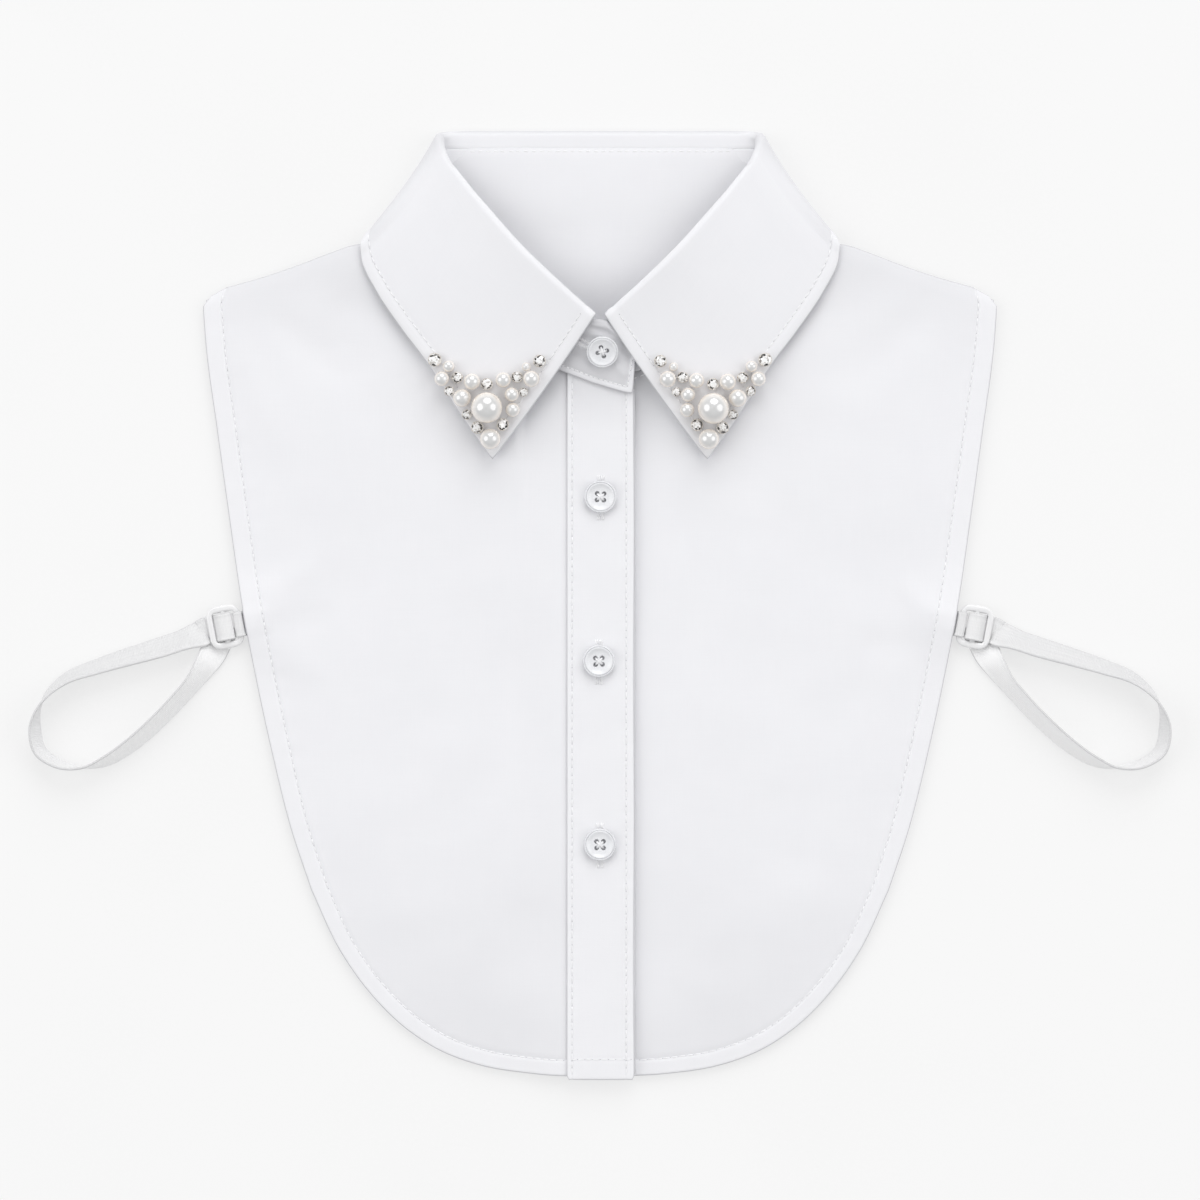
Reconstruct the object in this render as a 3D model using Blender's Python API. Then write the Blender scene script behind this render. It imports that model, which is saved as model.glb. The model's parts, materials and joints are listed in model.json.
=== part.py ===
"""Detachable shirt collar (dickey), laid flat with its neck end towards +Y and its right side up.

Lengths below are in millimetres and become metres when a mesh is made. The garment's own left and
right are as seen from above, +X to the right. Tables give one side, with x measured outwards from
the centre line, and the other side mirrors it.
"""

import math

import bmesh
import bpy
import numpy as np
from mathutils import Matrix, Vector
from mathutils.bvhtree import BVHTree

MM = 0.001

# Walls and gaps
CLOTH = 1.2  # one layer of shirting with its turnings
COLLAR_WALL = 1.4  # two layers and an interlining
GAP = 0.3  # between pieces that touch
LAYER = CLOTH + GAP
SEAM = 0.45  # in plan, where a sloping piece meets a flat one

# Body of the bib
HEM_WIDTH = 4.6
HEM_RAISE = 0.45
BACK_INSET = 1.2  # the back is cut this much smaller, so that the front hides it
COLLAR_UNDERLAY = 1.9  # the back panel rides over the back of the collar leaf by this much
UNDERLAY_START = 110.0
UNDERLAY_FULL = 132.0
UNDERLAY_HALF_WIDTH = 91.0
UNDERLAY_FADE = 24.0
SHOULDER_INSET = 0.5
CLOSURE_LIFT = 2.05  # the buttoned front lies on the other one, hem and all
CLOSURE_EASE = (14.0, 34.0)  # and comes down to its level between these
NECK_REACH = 38.0  # the fronts' rise towards the neck fades over this length
TAB_LIFT = 2.4  # the front's hem rides over the elastic tab
TAB_LIFT_SPAN = 14.0
TAB_LIFT_Y = -6.0  # the middle of that rise, and how far in from the edge it starts
TAB_LIFT_REACH = 30.0
HEM_SHARES = (0.06, 0.94, 1.0)  # where the raised strip's rows lie across the hem's width
PANEL_ACROSS = 14  # cells of a front's grid
PANEL_DOWN = 16

# Placket, stand and closure
PLACKET_LEFT = -12.6
PLACKET_RIGHT = 12.9
PLACKET_WALL = 1.0
PLACKET_END = -180.0
PLACKET_ROWS = 22
PLACKET_EDGE = 0.8  # the outer columns of its grid lie this far in
HEM_END = -178.8  # of the front under it
UNDER_FRONT_REACH = 11.0  # the lower front runs this far past the centre line
STAND_LAP = 1.4  # the stand covers the front's raw edge by this much
STAND_LAP_END = 20.0  # on the closure's side of this x
STAND_REST = 0.35  # the front may rise this much under the lap
STAND_END_SHARE = 0.96  # its overlapping ends stop this far down their tabled lines
FOLD_RADIUS = 1.4  # of the collar's roll, to the middle of its wall
CLOSURE_STEP = 0.85  # the buttoned side of the collar rides this much higher than the mean

# Buttons
BUTTON_RADIUS = 6.05
BUTTON_THICKNESS = 2.3
HOLE_RADIUS = 0.75
HOLE_SPACING = (3.0, 2.8)
BUTTON_PLACES = ((0.2, 41.0), (-0.4, -21.3), (0.0, -90.8))
TOP_BUTTON_PLACE = (0.9, 96.2)
TOP_BUTTON_TURN = 25.0
BUTTON_FOOT = 4.0  # half the size of the patch whose slope a button takes

# Elastic and its slider
STRAP_WIDTH = 10.4
STRAP_WALL = 1.0
TAB_WIDTH = 9.6
TAB_WALL = 0.8
SLIDER_CENTRE = (142.2, -8.3)
SLIDER_TURN = 10.8
SLIDER_SIZE = (13.0, 16.4)
SLIDER_BAR = 1.9
SLIDER_CORNER = 3.6
SLIDER_BOTTOM = 2.5
SLIDER_THICKNESS = 1.6
SLIDER_ENDS = 1.15  # its end bars are wider than the side bars by this factor
SLIDER_SLOT_CORNER = 1.0
SLIDER_SOFTEN = 0.35
STRAP_CLEAR = 0.12  # the loop's lower edge stands this far off the table
ABOVE_ALL = 100.0  # height from which a surface is looked for

# Side and lower edge of the front, from the shoulder's tip to the middle of the hem: x, y
BODY_EDGE = (
    (150.9, 115.4),
    (149.5, 96.9),
    (145.4, 66.5),
    (141.2, 36.1),
    (136.8, 5.7),
    (131.3, -24.7),
    (124.8, -55.1),
    (117.2, -85.5),
    (109.6, -108.3),
    (98.8, -131.1),
    (88.2, -146.3),
    (72.8, -161.5),
    (60.8, -169.1),
    (45.2, -174.8),
    (24.5, -178.0),
    (0.0, -178.8),
)
SIDE_ROWS = 9  # rows of BODY_EDGE above the turn into the hem

# Shoulder edge, from the neck to the tip: x, y
SHOULDER_EDGE = (
    (74.6, 138.4),
    (84.0, 136.9),
    (93.5, 136.0),
    (102.6, 133.0),
    (114.8, 128.4),
    (126.9, 124.3),
    (139.1, 120.8),
    (149.4, 117.9),
)

# Sections of the collar, from the middle of its back to its front edge. Each is taken through the
# crest of the fold, the free edge of the leaf and the stand's seam to the neck.
# fold x, y, z | leaf edge x, y, z | neck seam x, y, z | how far past the crest the leaf's inner
# edge lies, then the stand's upper edge | share of the closure's step
COLLAR_SECTIONS = (
    ((0.0, 179.3, 2.1), (0.0, 134.9, 0.7), (0.0, 146.0, 2.5), 5.5, 6.1, 0.0),
    ((20.0, 179.3, 2.1), (22.0, 134.9, 0.7), (20.0, 145.7, 2.5), 5.5, 6.1, 0.0),
    ((40.0, 179.3, 2.1), (46.0, 134.9, 0.7), (40.0, 144.8, 2.5), 5.5, 6.1, 0.0),
    ((52.0, 179.2, 2.3), (66.0, 135.1, 0.7), (56.0, 143.2, 2.5), 5.5, 6.1, 0.0),
    ((57.6, 178.9, 3.2), (81.5, 136.8, 0.9), (67.5, 141.2, 2.6), 4.2, 7.2, 0.0),
    ((60.0, 178.2, 5.0), (88.2, 139.9, 3.1), (73.4, 139.6, 3.4), 4.2, 7.2, 0.0),
    ((60.0, 176.3, 7.0), (90.0, 137.6, 5.8), (73.4, 137.4, 4.2), 4.2, 7.2, 0.0),
    ((58.6, 170.8, 8.8), (90.1, 132.0, 6.2), (71.0, 132.5, 4.5), 4.2, 7.2, 0.0),
    ((51.0, 159.9, 11.3), (84.4, 119.4, 6.4), (64.5, 124.8, 4.9), 5.5, 6.1, 0.0),
    ((41.4, 148.4, 13.8), (75.1, 105.6, 6.5), (55.5, 114.6, 5.2), 5.0, 5.6, 0.0),
    ((30.2, 135.7, 15.4), (64.3, 91.2, 6.6), (44.5, 104.0, 5.5), 4.0, 4.6, 0.0),
    ((16.9, 122.9, 15.6), (52.4, 72.7, 6.9), (30.0, 95.0, 6.0), 3.0, 3.6, 0.4),
    ((2.4, 109.9, 14.6), (40.7, 56.0, 7.4), (14.5, 88.8, 7.0), 1.6, 2.2, 1.0),
)
SECTION_STEPS = (1, 1, 1, 2, 3, 3, 2, 2, 1, 1, 1, 1)

# The stand's ends run on past the leaf: top edge x, y, z | neck seam x, y, z
TOP_STAND_END = (
    ((-2.5, 107.2, 13.8), (3.0, 84.6, 7.3)),
    ((-7.7, 101.7, 11.3), (-4.5, 82.4, 7.3)),
    ((-12.1, 96.2, 9.9), (-9.8, 81.0, 7.2)),
    ((-13.2, 93.0, 9.3), (-11.8, 80.8, 7.2)),
)
UNDER_STAND_END = (
    ((-2.5, 106.3, 11.4), (3.0, 87.6, 2.8)),
    ((-7.5, 101.5, 9.8), (-5.0, 88.2, 2.8)),
    ((-9.5, 98.5, 9.0), (-9.0, 89.4, 2.8)),
)
UNDER_NECK_FRONT = (14.5, 88.8, 3.0)

# Elastic loop, leaving the slider by its upper strand: x, y, lean of the band from flat
STRAP_LOOP = (
    (151.4, -10.9, 14.0),
    (156.0, -12.5, 36.0),
    (166.4, -16.0, 43.0),
    (178.6, -19.6, 50.0),
    (190.8, -23.4, 58.0),
    (202.9, -28.1, 68.0),
    (209.0, -33.1, 78.0),
    (212.6, -38.4, 90.0),
    (214.3, -47.0, 110.0),
    (212.4, -55.3, 112.0),
    (206.0, -60.0, 106.0),
    (196.8, -61.7, 91.0),
    (187.7, -59.3, 68.0),
    (178.6, -53.6, 58.0),
    (169.5, -45.8, 54.0),
    (160.4, -36.5, 53.0),
    (153.6, -28.6, 50.0),
    (149.6, -22.6, 32.0),
    (146.6, -17.6, 8.0),
)
# The band over the slider's middle bar, in the slider's own plane: across, height
STRAP_WRAP = (
    (-0.6, 1.65),
    (1.3, 1.75),
    (2.5, 2.5),
    (2.5, 3.9),
    (1.5, 4.8),
    (0.0, 5.05),
    (-1.6, 4.7),
    (-2.9, 3.6),
    (-4.2, 2.3),
    (-5.6, 1.75),
    (-7.2, 1.7),
)
STRAP_UNDER_END = ((143.6, -11.4), (141.4, -7.6))  # where the lower strand ends below the slider
# The tab round the slider's inner bar, in the same plane, from the hem and back: across, height
TAB_PATH = (
    (19.0, 1.9),
    (12.0, 1.9),
    (8.5, 1.9),
    (5.6, 1.75),
    (4.1, 2.1),
    (3.75, 3.1),
    (4.2, 4.3),
    (5.5, 4.75),
    (6.6, 4.5),
    (7.2, 3.2),
)

# Large pearls on each collar point: x, y, radius
PEARLS = (
    (42.2, 74.8, 5.9),
    (41.1, 62.9, 3.9),
    (51.7, 78.5, 3.4),
    (48.0, 84.7, 3.1),
    (36.3, 85.3, 2.9),
    (25.6, 85.8, 3.1),
    (59.5, 85.8, 2.8),
)


def clear_scene():
    for old in list(bpy.data.objects):
        bpy.data.objects.remove(old, do_unlink=True)


def material(name, colour, roughness, metallic=0.0):
    """A plain Principled finish, shared by the pieces of one kind."""
    made = bpy.data.materials.get(name)
    if made is None:
        made = bpy.data.materials.new(name)
        made.use_nodes = True
        shader = made.node_tree.nodes["Principled BSDF"]
        shader.inputs["Base Color"].default_value = (*colour, 1.0)
        shader.inputs["Roughness"].default_value = roughness
        shader.inputs["Metallic"].default_value = metallic
    return made


def cotton():
    return material("cotton_shirting", (0.86, 0.86, 0.89), 0.9)


def elastic():
    return material("woven_elastic", (0.82, 0.82, 0.83), 0.7)


def clear_plastic():
    return material("slider_plastic", (0.88, 0.88, 0.89), 0.25)


def button_plastic():
    return material("button_plastic", (0.84, 0.85, 0.87), 0.15)


def pearl():
    return material("pearl", (0.89, 0.87, 0.84), 0.12)


def add_object(name, points, faces, finish, smooth=True):
    mesh = bpy.data.meshes.new(name)
    mesh.from_pydata([tuple(float(c) * MM for c in p) for p in points], [], faces)
    mesh.validate()
    shape = bmesh.new()
    shape.from_mesh(mesh)
    bmesh.ops.recalc_face_normals(shape, faces=shape.faces)
    shape.to_mesh(mesh)
    shape.free()
    if smooth:
        mesh.shade_smooth()
        mesh.set_sharp_from_angle(angle=math.radians(50))
    obj = bpy.data.objects.new(name, mesh)
    bpy.context.scene.collection.objects.link(obj)
    mesh.materials.append(finish)
    return obj


def unit(vector):
    vector = np.asarray(vector, float)
    return vector / np.linalg.norm(vector, axis=-1, keepdims=True)


def smoothstep(value, low, high):
    share = np.clip((np.asarray(value, float) - low) / (high - low), 0.0, 1.0)
    return share * share * (3.0 - 2.0 * share)


def curve_through(points, where):
    """Points on a smooth curve through the given ones, at the given row numbers."""
    points = np.asarray(points, float)
    last = len(points) - 1
    chords = np.maximum(np.linalg.norm(np.diff(points[:, :3], axis=0), axis=1), 1e-6)
    steps = np.diff(points, axis=0) / chords[:, None]
    slopes = np.empty_like(points)
    slopes[0] = steps[0]
    slopes[-1] = steps[-1]
    weights = chords[1:, None] / (chords[1:, None] + chords[:-1, None])
    slopes[1:-1] = steps[:-1] * weights + steps[1:] * (1.0 - weights)
    result = []
    for position in where:
        row = min(int(position), last - 1)
        s = position - row
        width = chords[row]
        result.append(
            (2 * s**3 - 3 * s**2 + 1) * points[row]
            + (s**3 - 2 * s**2 + s) * width * slopes[row]
            + (3 * s**2 - 2 * s**3) * points[row + 1]
            + (s**3 - s**2) * width * slopes[row + 1]
        )
    return np.array(result)


def even_points(points, count):
    """The curve through the points, cut into equal lengths."""
    fine = curve_through(points, np.linspace(0, len(points) - 1, 40 * len(points)))
    lengths = np.concatenate([[0.0], np.cumsum(np.linalg.norm(np.diff(fine, axis=0), axis=1))])
    wanted = np.linspace(0, lengths[-1], count)
    return np.stack([np.interp(wanted, lengths, fine[:, k]) for k in range(fine.shape[1])], axis=1)


def shell(front, back):
    """Points and faces of the closed wall between two grids of points of the same size."""
    rows, columns = front.shape[:2]
    points = np.concatenate([front.reshape(-1, 3), back.reshape(-1, 3)])
    side = rows * columns

    def at(row, column, layer):
        return layer * side + row * columns + column

    faces = []
    for row in range(rows - 1):
        for column in range(columns - 1):
            around = [(row, column), (row + 1, column), (row + 1, column + 1), (row, column + 1)]
            faces.append([at(r, c, 0) for r, c in around])
            faces.append([at(r, c, 1) for r, c in reversed(around)])
        for column in (0, columns - 1):
            edge = [at(row, column, 0), at(row + 1, column, 0)]
            edge += [at(row + 1, column, 1), at(row, column, 1)]
            faces.append(edge)
    for row in (0, rows - 1):
        for column in range(columns - 1):
            edge = [at(row, column, 0), at(row, column + 1, 0)]
            edge += [at(row, column + 1, 1), at(row, column, 1)]
            faces.append(edge)
    return points, faces


def patch_between(top, bottom, left, right):
    """The grid of points that fills four border lines."""
    u = np.linspace(0, 1, len(top))[None, :, None]
    v = np.linspace(0, 1, len(left))[:, None, None]
    corners = (
        (1 - u) * (1 - v) * top[0]
        + u * (1 - v) * top[-1]
        + (1 - u) * v * bottom[0]
        + u * v * bottom[-1]
    )
    down = (1 - v) * top[None] + v * bottom[None]
    across = (1 - u) * left[:, None] + u * right[:, None]
    return down + across - corners


def inward_directions(outline):
    """Directions in plan at right angles to a line, to its left as it runs down the right side."""
    slope = unit(np.gradient(outline, axis=0))
    return np.stack([slope[:, 1], -slope[:, 0]], axis=1)


def grid_normals(grid):
    along = np.gradient(grid, axis=0)
    across = np.gradient(grid, axis=1)
    return unit(np.cross(along, across))


def wall_on(grid, normals, thickness):
    """A wall of the given thickness with the grid in its middle, and none of it below the table."""
    half = thickness / 2
    front = grid + normals * half
    back = grid - normals * half
    for side in (front, back):
        side[..., 2] = np.maximum(side[..., 2], 0.0)
    return shell(front, back)


# Heights of the flat layers


def underlay(x, y):
    """How far the back panel is lifted by the back of the collar leaf below it."""
    over_leaf = smoothstep(y, UNDERLAY_START, UNDERLAY_FULL)
    fade = 1.0 - smoothstep(np.abs(x), UNDERLAY_HALF_WIDTH, UNDERLAY_HALF_WIDTH + UNDERLAY_FADE)
    return COLLAR_UNDERLAY * over_leaf * fade


def tab_lift(x, y):
    """How far the front's hem is lifted where the elastic tab goes in under it."""
    near = np.exp(-(((y - TAB_LIFT_Y) / TAB_LIFT_SPAN) ** 2))
    edge = np.interp(-y, [-row[1] for row in BODY_EDGE], [row[0] for row in BODY_EDGE])
    return TAB_LIFT * near * smoothstep(x, edge - TAB_LIFT_REACH, edge - 1.0)


def closure_lift(x):
    """The buttoned front lies on the other one near the centre line."""
    return CLOSURE_LIFT * (1.0 - smoothstep(x, *CLOSURE_EASE))


# Body panels


def neck_seam(on_top):
    """The fronts' neck edge from the shoulder to the closure, with the height of its middle."""
    rows = [np.array(row[2], float) for row in COLLAR_SECTIONS[6:]]
    if on_top:
        rows += [np.array(row[1], float) for row in TOP_STAND_END[:3]]
        reach = -PLACKET_RIGHT
    else:
        rows[-1] = np.array(UNDER_NECK_FRONT)
        rows += [np.array(row[1], float) for row in UNDER_STAND_END]
        reach = -UNDER_FRONT_REACH
    end = rows[-1] + (rows[-1] - rows[-2]) * ((rows[-1][0] - reach) / (rows[-2][0] - rows[-1][0]))
    rows[-1] = end
    return np.array(rows)


def front_top_edge(on_top):
    """Neck edge and shoulder of a front, from the closure outwards: x, y and the height needed."""
    seam = neck_seam(on_top)[::-1]
    outwards = inward_directions(seam[:, :2])
    if on_top:
        clear = np.where(seam[:, 0] < STAND_LAP_END, -STAND_LAP, SEAM)
    else:
        clear = np.full(len(seam), SEAM)
    seam[:, :2] += outwards * clear[:, None]
    seam[0, 0] = -PLACKET_RIGHT + 0.2 if on_top else -UNDER_FRONT_REACH
    return seam


def front_patch(on_top, across=PANEL_ACROSS, down=PANEL_DOWN):
    """A front as a grid of plan points and heights of its underside, hem strip included."""
    neck = front_top_edge(on_top)
    shoulder = np.array(SHOULDER_EDGE, float)
    tip = shoulder[-1]
    inner_x = neck[0, 0]
    edge = even_points(BODY_EDGE[:SIDE_ROWS], down + 1)
    hem_points = [*BODY_EDGE[SIDE_ROWS - 1 : -1], (inner_x, HEM_END)]
    hem = even_points(hem_points, across + 1)
    outline = np.concatenate([edge, hem[1:]])
    inwards = inward_directions(outline)
    inwards[0] = unit(shoulder[-2] - tip)
    inwards[-1] = (0.0, 1.0)
    outline[0] = tip
    inset = outline + inwards * HEM_WIDTH

    neck_count = across * 5 // 8
    neck_line = even_points(neck[:, :2], neck_count + 1)
    shoulder_points = np.concatenate([shoulder[:-1], [inset[0]]])
    shoulder_line = even_points(shoulder_points, across - neck_count + 1)
    shoulder_line[0] = neck_line[-1]
    top = np.concatenate([neck_line, shoulder_line[1:]])
    right = inset[: down + 1]
    bottom = inset[down:][::-1]
    inner_y = np.linspace(top[0, 1], bottom[0, 1], down + 1)
    left = np.stack([np.full(down + 1, inner_x), inner_y], axis=1)
    plan = patch_between(top, bottom, left, right)

    def flat_height(x, y):
        height = underlay(x, y) + LAYER + tab_lift(x, y)
        return height + closure_lift(x) if on_top else height

    heights = flat_height(plan[..., 0], plan[..., 1])
    wanted = np.interp(top[:, 0], neck[:, 0], neck[:, 2]) - CLOTH / 2
    if on_top:
        lapped = np.minimum(wanted, heights[0] + STAND_REST)
        wanted = np.where(top[:, 0] < COLLAR_SECTIONS[-2][2][0], lapped, wanted)
    shoulder_share = 1.0 - smoothstep(np.arange(across + 1), neck_count - 2, neck_count)
    rise = np.maximum(wanted - heights[0], 0.0) * shoulder_share
    distance = np.linalg.norm(plan - plan[:1], axis=-1)
    heights = heights + rise[None] * np.exp(-((distance / NECK_REACH) ** 2))

    ring = np.concatenate([plan[:, -1], plan[-1, ::-1][1:]])
    strips = [ring + (outline - ring) * share for share in HEM_SHARES]
    strip_heights = [flat_height(s[:, 0], s[:, 1]) for s in strips]
    return plan, heights, strips, strip_heights


def front_panel(name, on_top, side):
    """A front: one layer of cloth with its turned hem as a raised strip along side and bottom."""
    plan, heights, strips, strip_heights = front_patch(on_top)
    rows, columns = heights.shape
    bottom = [(x, y, z) for (x, y), z in zip(plan.reshape(-1, 2), heights.reshape(-1))]
    upper = [(x, y, z + CLOTH) for x, y, z in bottom]
    ring = [r * columns + columns - 1 for r in range(rows)]
    ring += [(rows - 1) * columns + c for c in range(columns - 2, -1, -1)]
    rings = [ring]
    for strip, height in zip(strips, strip_heights):
        rings.append([len(bottom) + k for k in range(len(strip))])
        bottom += [(x, y, z) for (x, y), z in zip(strip, height)]
        upper += [(x, y, z + CLOTH + HEM_RAISE) for (x, y), z in zip(strip, height)]
    quads = []
    for r in range(rows - 1):
        for c in range(columns - 1):
            here = r * columns + c
            quads.append((here, here + columns, here + columns + 1, here + 1))
    for inner, outer in zip(rings, rings[1:]):
        for k in range(len(inner) - 1):
            quads.append((inner[k], inner[k + 1], outer[k + 1], outer[k]))
    border = list(range(columns))
    border += [loop[0] for loop in rings[1:]]
    border += rings[-1][1:]
    border += [loop[-1] for loop in rings[-2::-1]]
    border += [r * columns for r in range(rows - 2, 0, -1)]
    count = len(bottom)
    points = [(x * side, y, z) for x, y, z in bottom + upper]
    faces = quads + [tuple(count + i for i in reversed(quad)) for quad in quads]
    for a, b in zip(border, border[1:] + border[:1]):
        faces.append((a, b, count + b, count + a))
    return add_object(name, points, faces, cotton())


def back_panel(across=20, down=14):
    """The back, hidden by the fronts but for its neck: a grid from edge to edge."""
    half_edge = np.array(BODY_EDGE, float)
    half_edge = half_edge + inward_directions(half_edge) * BACK_INSET
    half_edge[-1, 0] = 0.0
    side_line = even_points(half_edge[:SIDE_ROWS], down + 1)
    hem_half = even_points(half_edge[SIDE_ROWS - 1 :], across // 2 + 1)
    neck = np.array([row[2][:2] for row in COLLAR_SECTIONS[:5]], float)
    neck[:, 1] -= GAP
    shoulder = np.array(SHOULDER_EDGE, float)
    shoulder[:, 1] -= SHOULDER_INSET
    shoulder[-1] = side_line[0]
    neck = np.concatenate([neck, shoulder[:1]])
    neck_count = across // 4
    neck_line = even_points(neck, neck_count + 1)
    shoulder_line = even_points(shoulder, across // 2 - neck_count + 1)
    half_top = np.concatenate([neck_line, shoulder_line[1:]])
    mirror = np.array([-1.0, 1.0])
    top = np.concatenate([half_top[::-1] * mirror, half_top[1:]])
    bottom = np.concatenate([hem_half * mirror, hem_half[::-1][1:]])
    plan = patch_between(top, bottom, side_line * mirror, side_line)
    height = underlay(plan[..., 0], plan[..., 1])
    lower = np.concatenate([plan, height[..., None]], axis=-1)
    upper = lower + np.array([0.0, 0.0, CLOTH])
    return add_object("back_panel", *shell(upper, lower), cotton())


def placket(front):
    """The buttonhole band, made from the points of the front below it, moved out."""
    tree = BVHTree.FromObject(front, bpy.context.evaluated_depsgraph_get())
    seam = neck_seam(True)[::-1]
    seam_x = -seam[:, 0]
    columns = np.array(
        [PLACKET_LEFT, PLACKET_LEFT + PLACKET_EDGE, 0.0, PLACKET_RIGHT - PLACKET_EDGE, PLACKET_RIGHT]
    )
    tops = np.interp(columns, seam_x[::-1], seam[::-1, 1]) + STAND_LAP
    grid = np.zeros((PLACKET_ROWS + 1, len(columns), 3))
    for c, (x, top_y) in enumerate(zip(columns, tops)):
        for r, y in enumerate(np.linspace(top_y, PLACKET_END, PLACKET_ROWS + 1)):
            inside_x = min(x, PLACKET_RIGHT - GAP)
            inside_y = min(max(y, HEM_END + 0.5), top_y - GAP)
            start = Vector((inside_x * MM, inside_y * MM, ABOVE_ALL * MM))
            hit = tree.ray_cast(start, Vector((0, 0, -1)))[0]
            grid[r, c] = (x, y, hit.z / MM + GAP)
    upper = grid + np.array([0.0, 0.0, PLACKET_WALL])
    return add_object("placket", *shell(upper, grid), cotton())


# Collar


def collar_rows(side):
    """The sections between the tabled ones, for the top side (-1) or the under side (+1)."""
    rows = []
    for fold, edge, neck, turned, start, closure in COLLAR_SECTIONS:
        lift = -side * CLOSURE_STEP * closure
        fold = (fold[0], fold[1], fold[2] + lift)
        edge = (edge[0], edge[1], edge[2] + lift / 2)
        rows.append([*fold, *edge, *neck, turned, start])
    if side > 0:
        rows[-1][6:9] = UNDER_NECK_FRONT
        rows[-2][8] -= 0.8
    where = [0.0]
    for row, steps in enumerate(SECTION_STEPS):
        where += [row + (k + 1) / steps for k in range(steps)]
    return curve_through(rows, where)


def section_paths(rows):
    """For each section, the path from the leaf's edge over the fold, and on down the stand."""
    folds = rows[:, 0:3]
    tangents = unit(np.gradient(folds, axis=0))
    tangents[0] = (1.0, 0.0, 0.0)
    leaf_paths = []
    stand_paths = []
    leaf_share = np.array([0.0, 0.08, 0.28, 0.5, 0.72, 0.9, 1.0])
    angles = np.radians(np.linspace(-90, 90, 6))[1:]
    for row, fold, tangent in zip(rows, folds, tangents):
        edge, neck, turned, start = row[3:6], row[6:9], row[9], row[10]
        down = unit(unit(edge - fold) + unit(neck - fold))
        inner = unit(-np.cross(tangent, down))
        centre = fold + down * FOLD_RADIUS
        outer_start = centre - inner * FOLD_RADIUS
        inner_start = centre + inner * FOLD_RADIUS
        path = [bezier(edge, outer_start, down, 1 - s) for s in leaf_share]
        path += [
            centre - math.cos(a) * FOLD_RADIUS * down + math.sin(a) * FOLD_RADIUS * inner
            for a in angles
        ]
        length = np.linalg.norm(neck - inner_start)
        path += [bezier(neck, inner_start, down, turned * s / length) for s in (0.5, 1.0)]
        leaf_paths.append(path)
        begin = start / length
        finish = 1.0 - 1.5 * GAP / length
        stand_paths.append([bezier(neck, inner_start, down, s) for s in np.linspace(begin, finish, 6)])
    return np.array(leaf_paths), np.array(stand_paths)


def bezier(end, start, direction, share):
    """A point of the curve that leaves start along the direction and runs to end."""
    control = start + direction * np.linalg.norm(end - start) * 0.4
    control[2] = max(control[2], min(start[2], end[2]))
    return start * (1 - share) ** 2 + 2 * control * share * (1 - share) + end * share**2


def whole_collar():
    flip = np.array([-1.0, 1.0, 1.0])
    top_leaf, top_stand = section_paths(collar_rows(-1))
    under_leaf, under_stand = section_paths(collar_rows(1))
    leaf = np.concatenate([top_leaf[::-1] * flip, under_leaf[1:]])
    stand = np.concatenate([top_stand[::-1] * flip, under_stand[1:]])
    normals = grid_normals(np.concatenate([leaf, stand], axis=1))
    leaf_normals, stand_normals = normals[:, : leaf.shape[1]], normals[:, leaf.shape[1] :]
    share = np.linspace(0, STAND_END_SHARE, stand.shape[1])[:, None]

    def end_rows(table):
        return np.array([np.array(a) * (1 - share) + np.array(b) * share for a, b in table])

    left_end = end_rows(TOP_STAND_END)[::-1] * flip
    right_end = end_rows(UNDER_STAND_END)
    stand = np.concatenate([left_end, stand, right_end])
    end_normals = grid_normals(stand)
    first, last = len(left_end), len(stand) - len(right_end)
    stand_normals = np.concatenate([end_normals[:first], stand_normals, end_normals[last:]])
    leaf_object = add_object("collar_leaf", *wall_on(leaf, leaf_normals, COLLAR_WALL), cotton())
    stand_object = add_object("collar_stand", *wall_on(stand, stand_normals, COLLAR_WALL), cotton())
    return leaf_object, stand_object


# Buttons and pearls


def button_mesh():
    """A four-hole shirt button with a raised rim and a dished middle."""
    half = BUTTON_THICKNESS / 2
    profile = (
        (0.0, -half),
        (BUTTON_RADIUS - 1.6, -half),
        (BUTTON_RADIUS - 0.3, -0.35),
        (BUTTON_RADIUS, 0.3),
        (BUTTON_RADIUS - 0.45, half),
        (BUTTON_RADIUS - 1.3, half),
        (BUTTON_RADIUS - 2.1, half - 0.7),
        (0.0, half - 0.8),
    )
    segments = 24
    points = [(0.0, 0.0, profile[0][1])]
    for radius, height in profile[1:-1]:
        for k in range(segments):
            turn = 2 * math.pi * k / segments
            points.append((radius * math.cos(turn), radius * math.sin(turn), height))
    points.append((0.0, 0.0, profile[-1][1]))
    rings = len(profile) - 2
    faces = []
    for k in range(segments):
        after = (k + 1) % segments
        faces.append((0, 1 + after, 1 + k))
        for ring in range(rings - 1):
            low = 1 + ring * segments
            high = low + segments
            faces.append((low + k, low + after, high + after, high + k))
        last = 1 + (rings - 1) * segments
        faces.append((last + k, last + after, len(points) - 1))
    blank = add_object("button_blank", points, faces, button_plastic())
    for across in (-0.5, 0.5):
        for along in (-0.5, 0.5):
            place = (HOLE_SPACING[0] * across * MM, HOLE_SPACING[1] * along * MM, 0.0)
            bpy.ops.mesh.primitive_cylinder_add(
                vertices=8, radius=HOLE_RADIUS * MM, depth=4 * BUTTON_THICKNESS * MM, location=place
            )
            cutter = bpy.context.object
            cutter.hide_render = True
            cutter.display_type = "WIRE"
            cut = blank.modifiers.new("hole", "BOOLEAN")
            cut.operation = "DIFFERENCE"
            cut.solver = "EXACT"
            cut.object = cutter
    bpy.context.view_layer.update()
    evaluated = blank.evaluated_get(bpy.context.evaluated_depsgraph_get())
    mesh = bpy.data.meshes.new_from_object(evaluated)
    mesh.name = "shirt_button"
    for helper in [blank] + [cut.object for cut in blank.modifiers]:
        bpy.data.objects.remove(helper, do_unlink=True)
    return mesh


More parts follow.
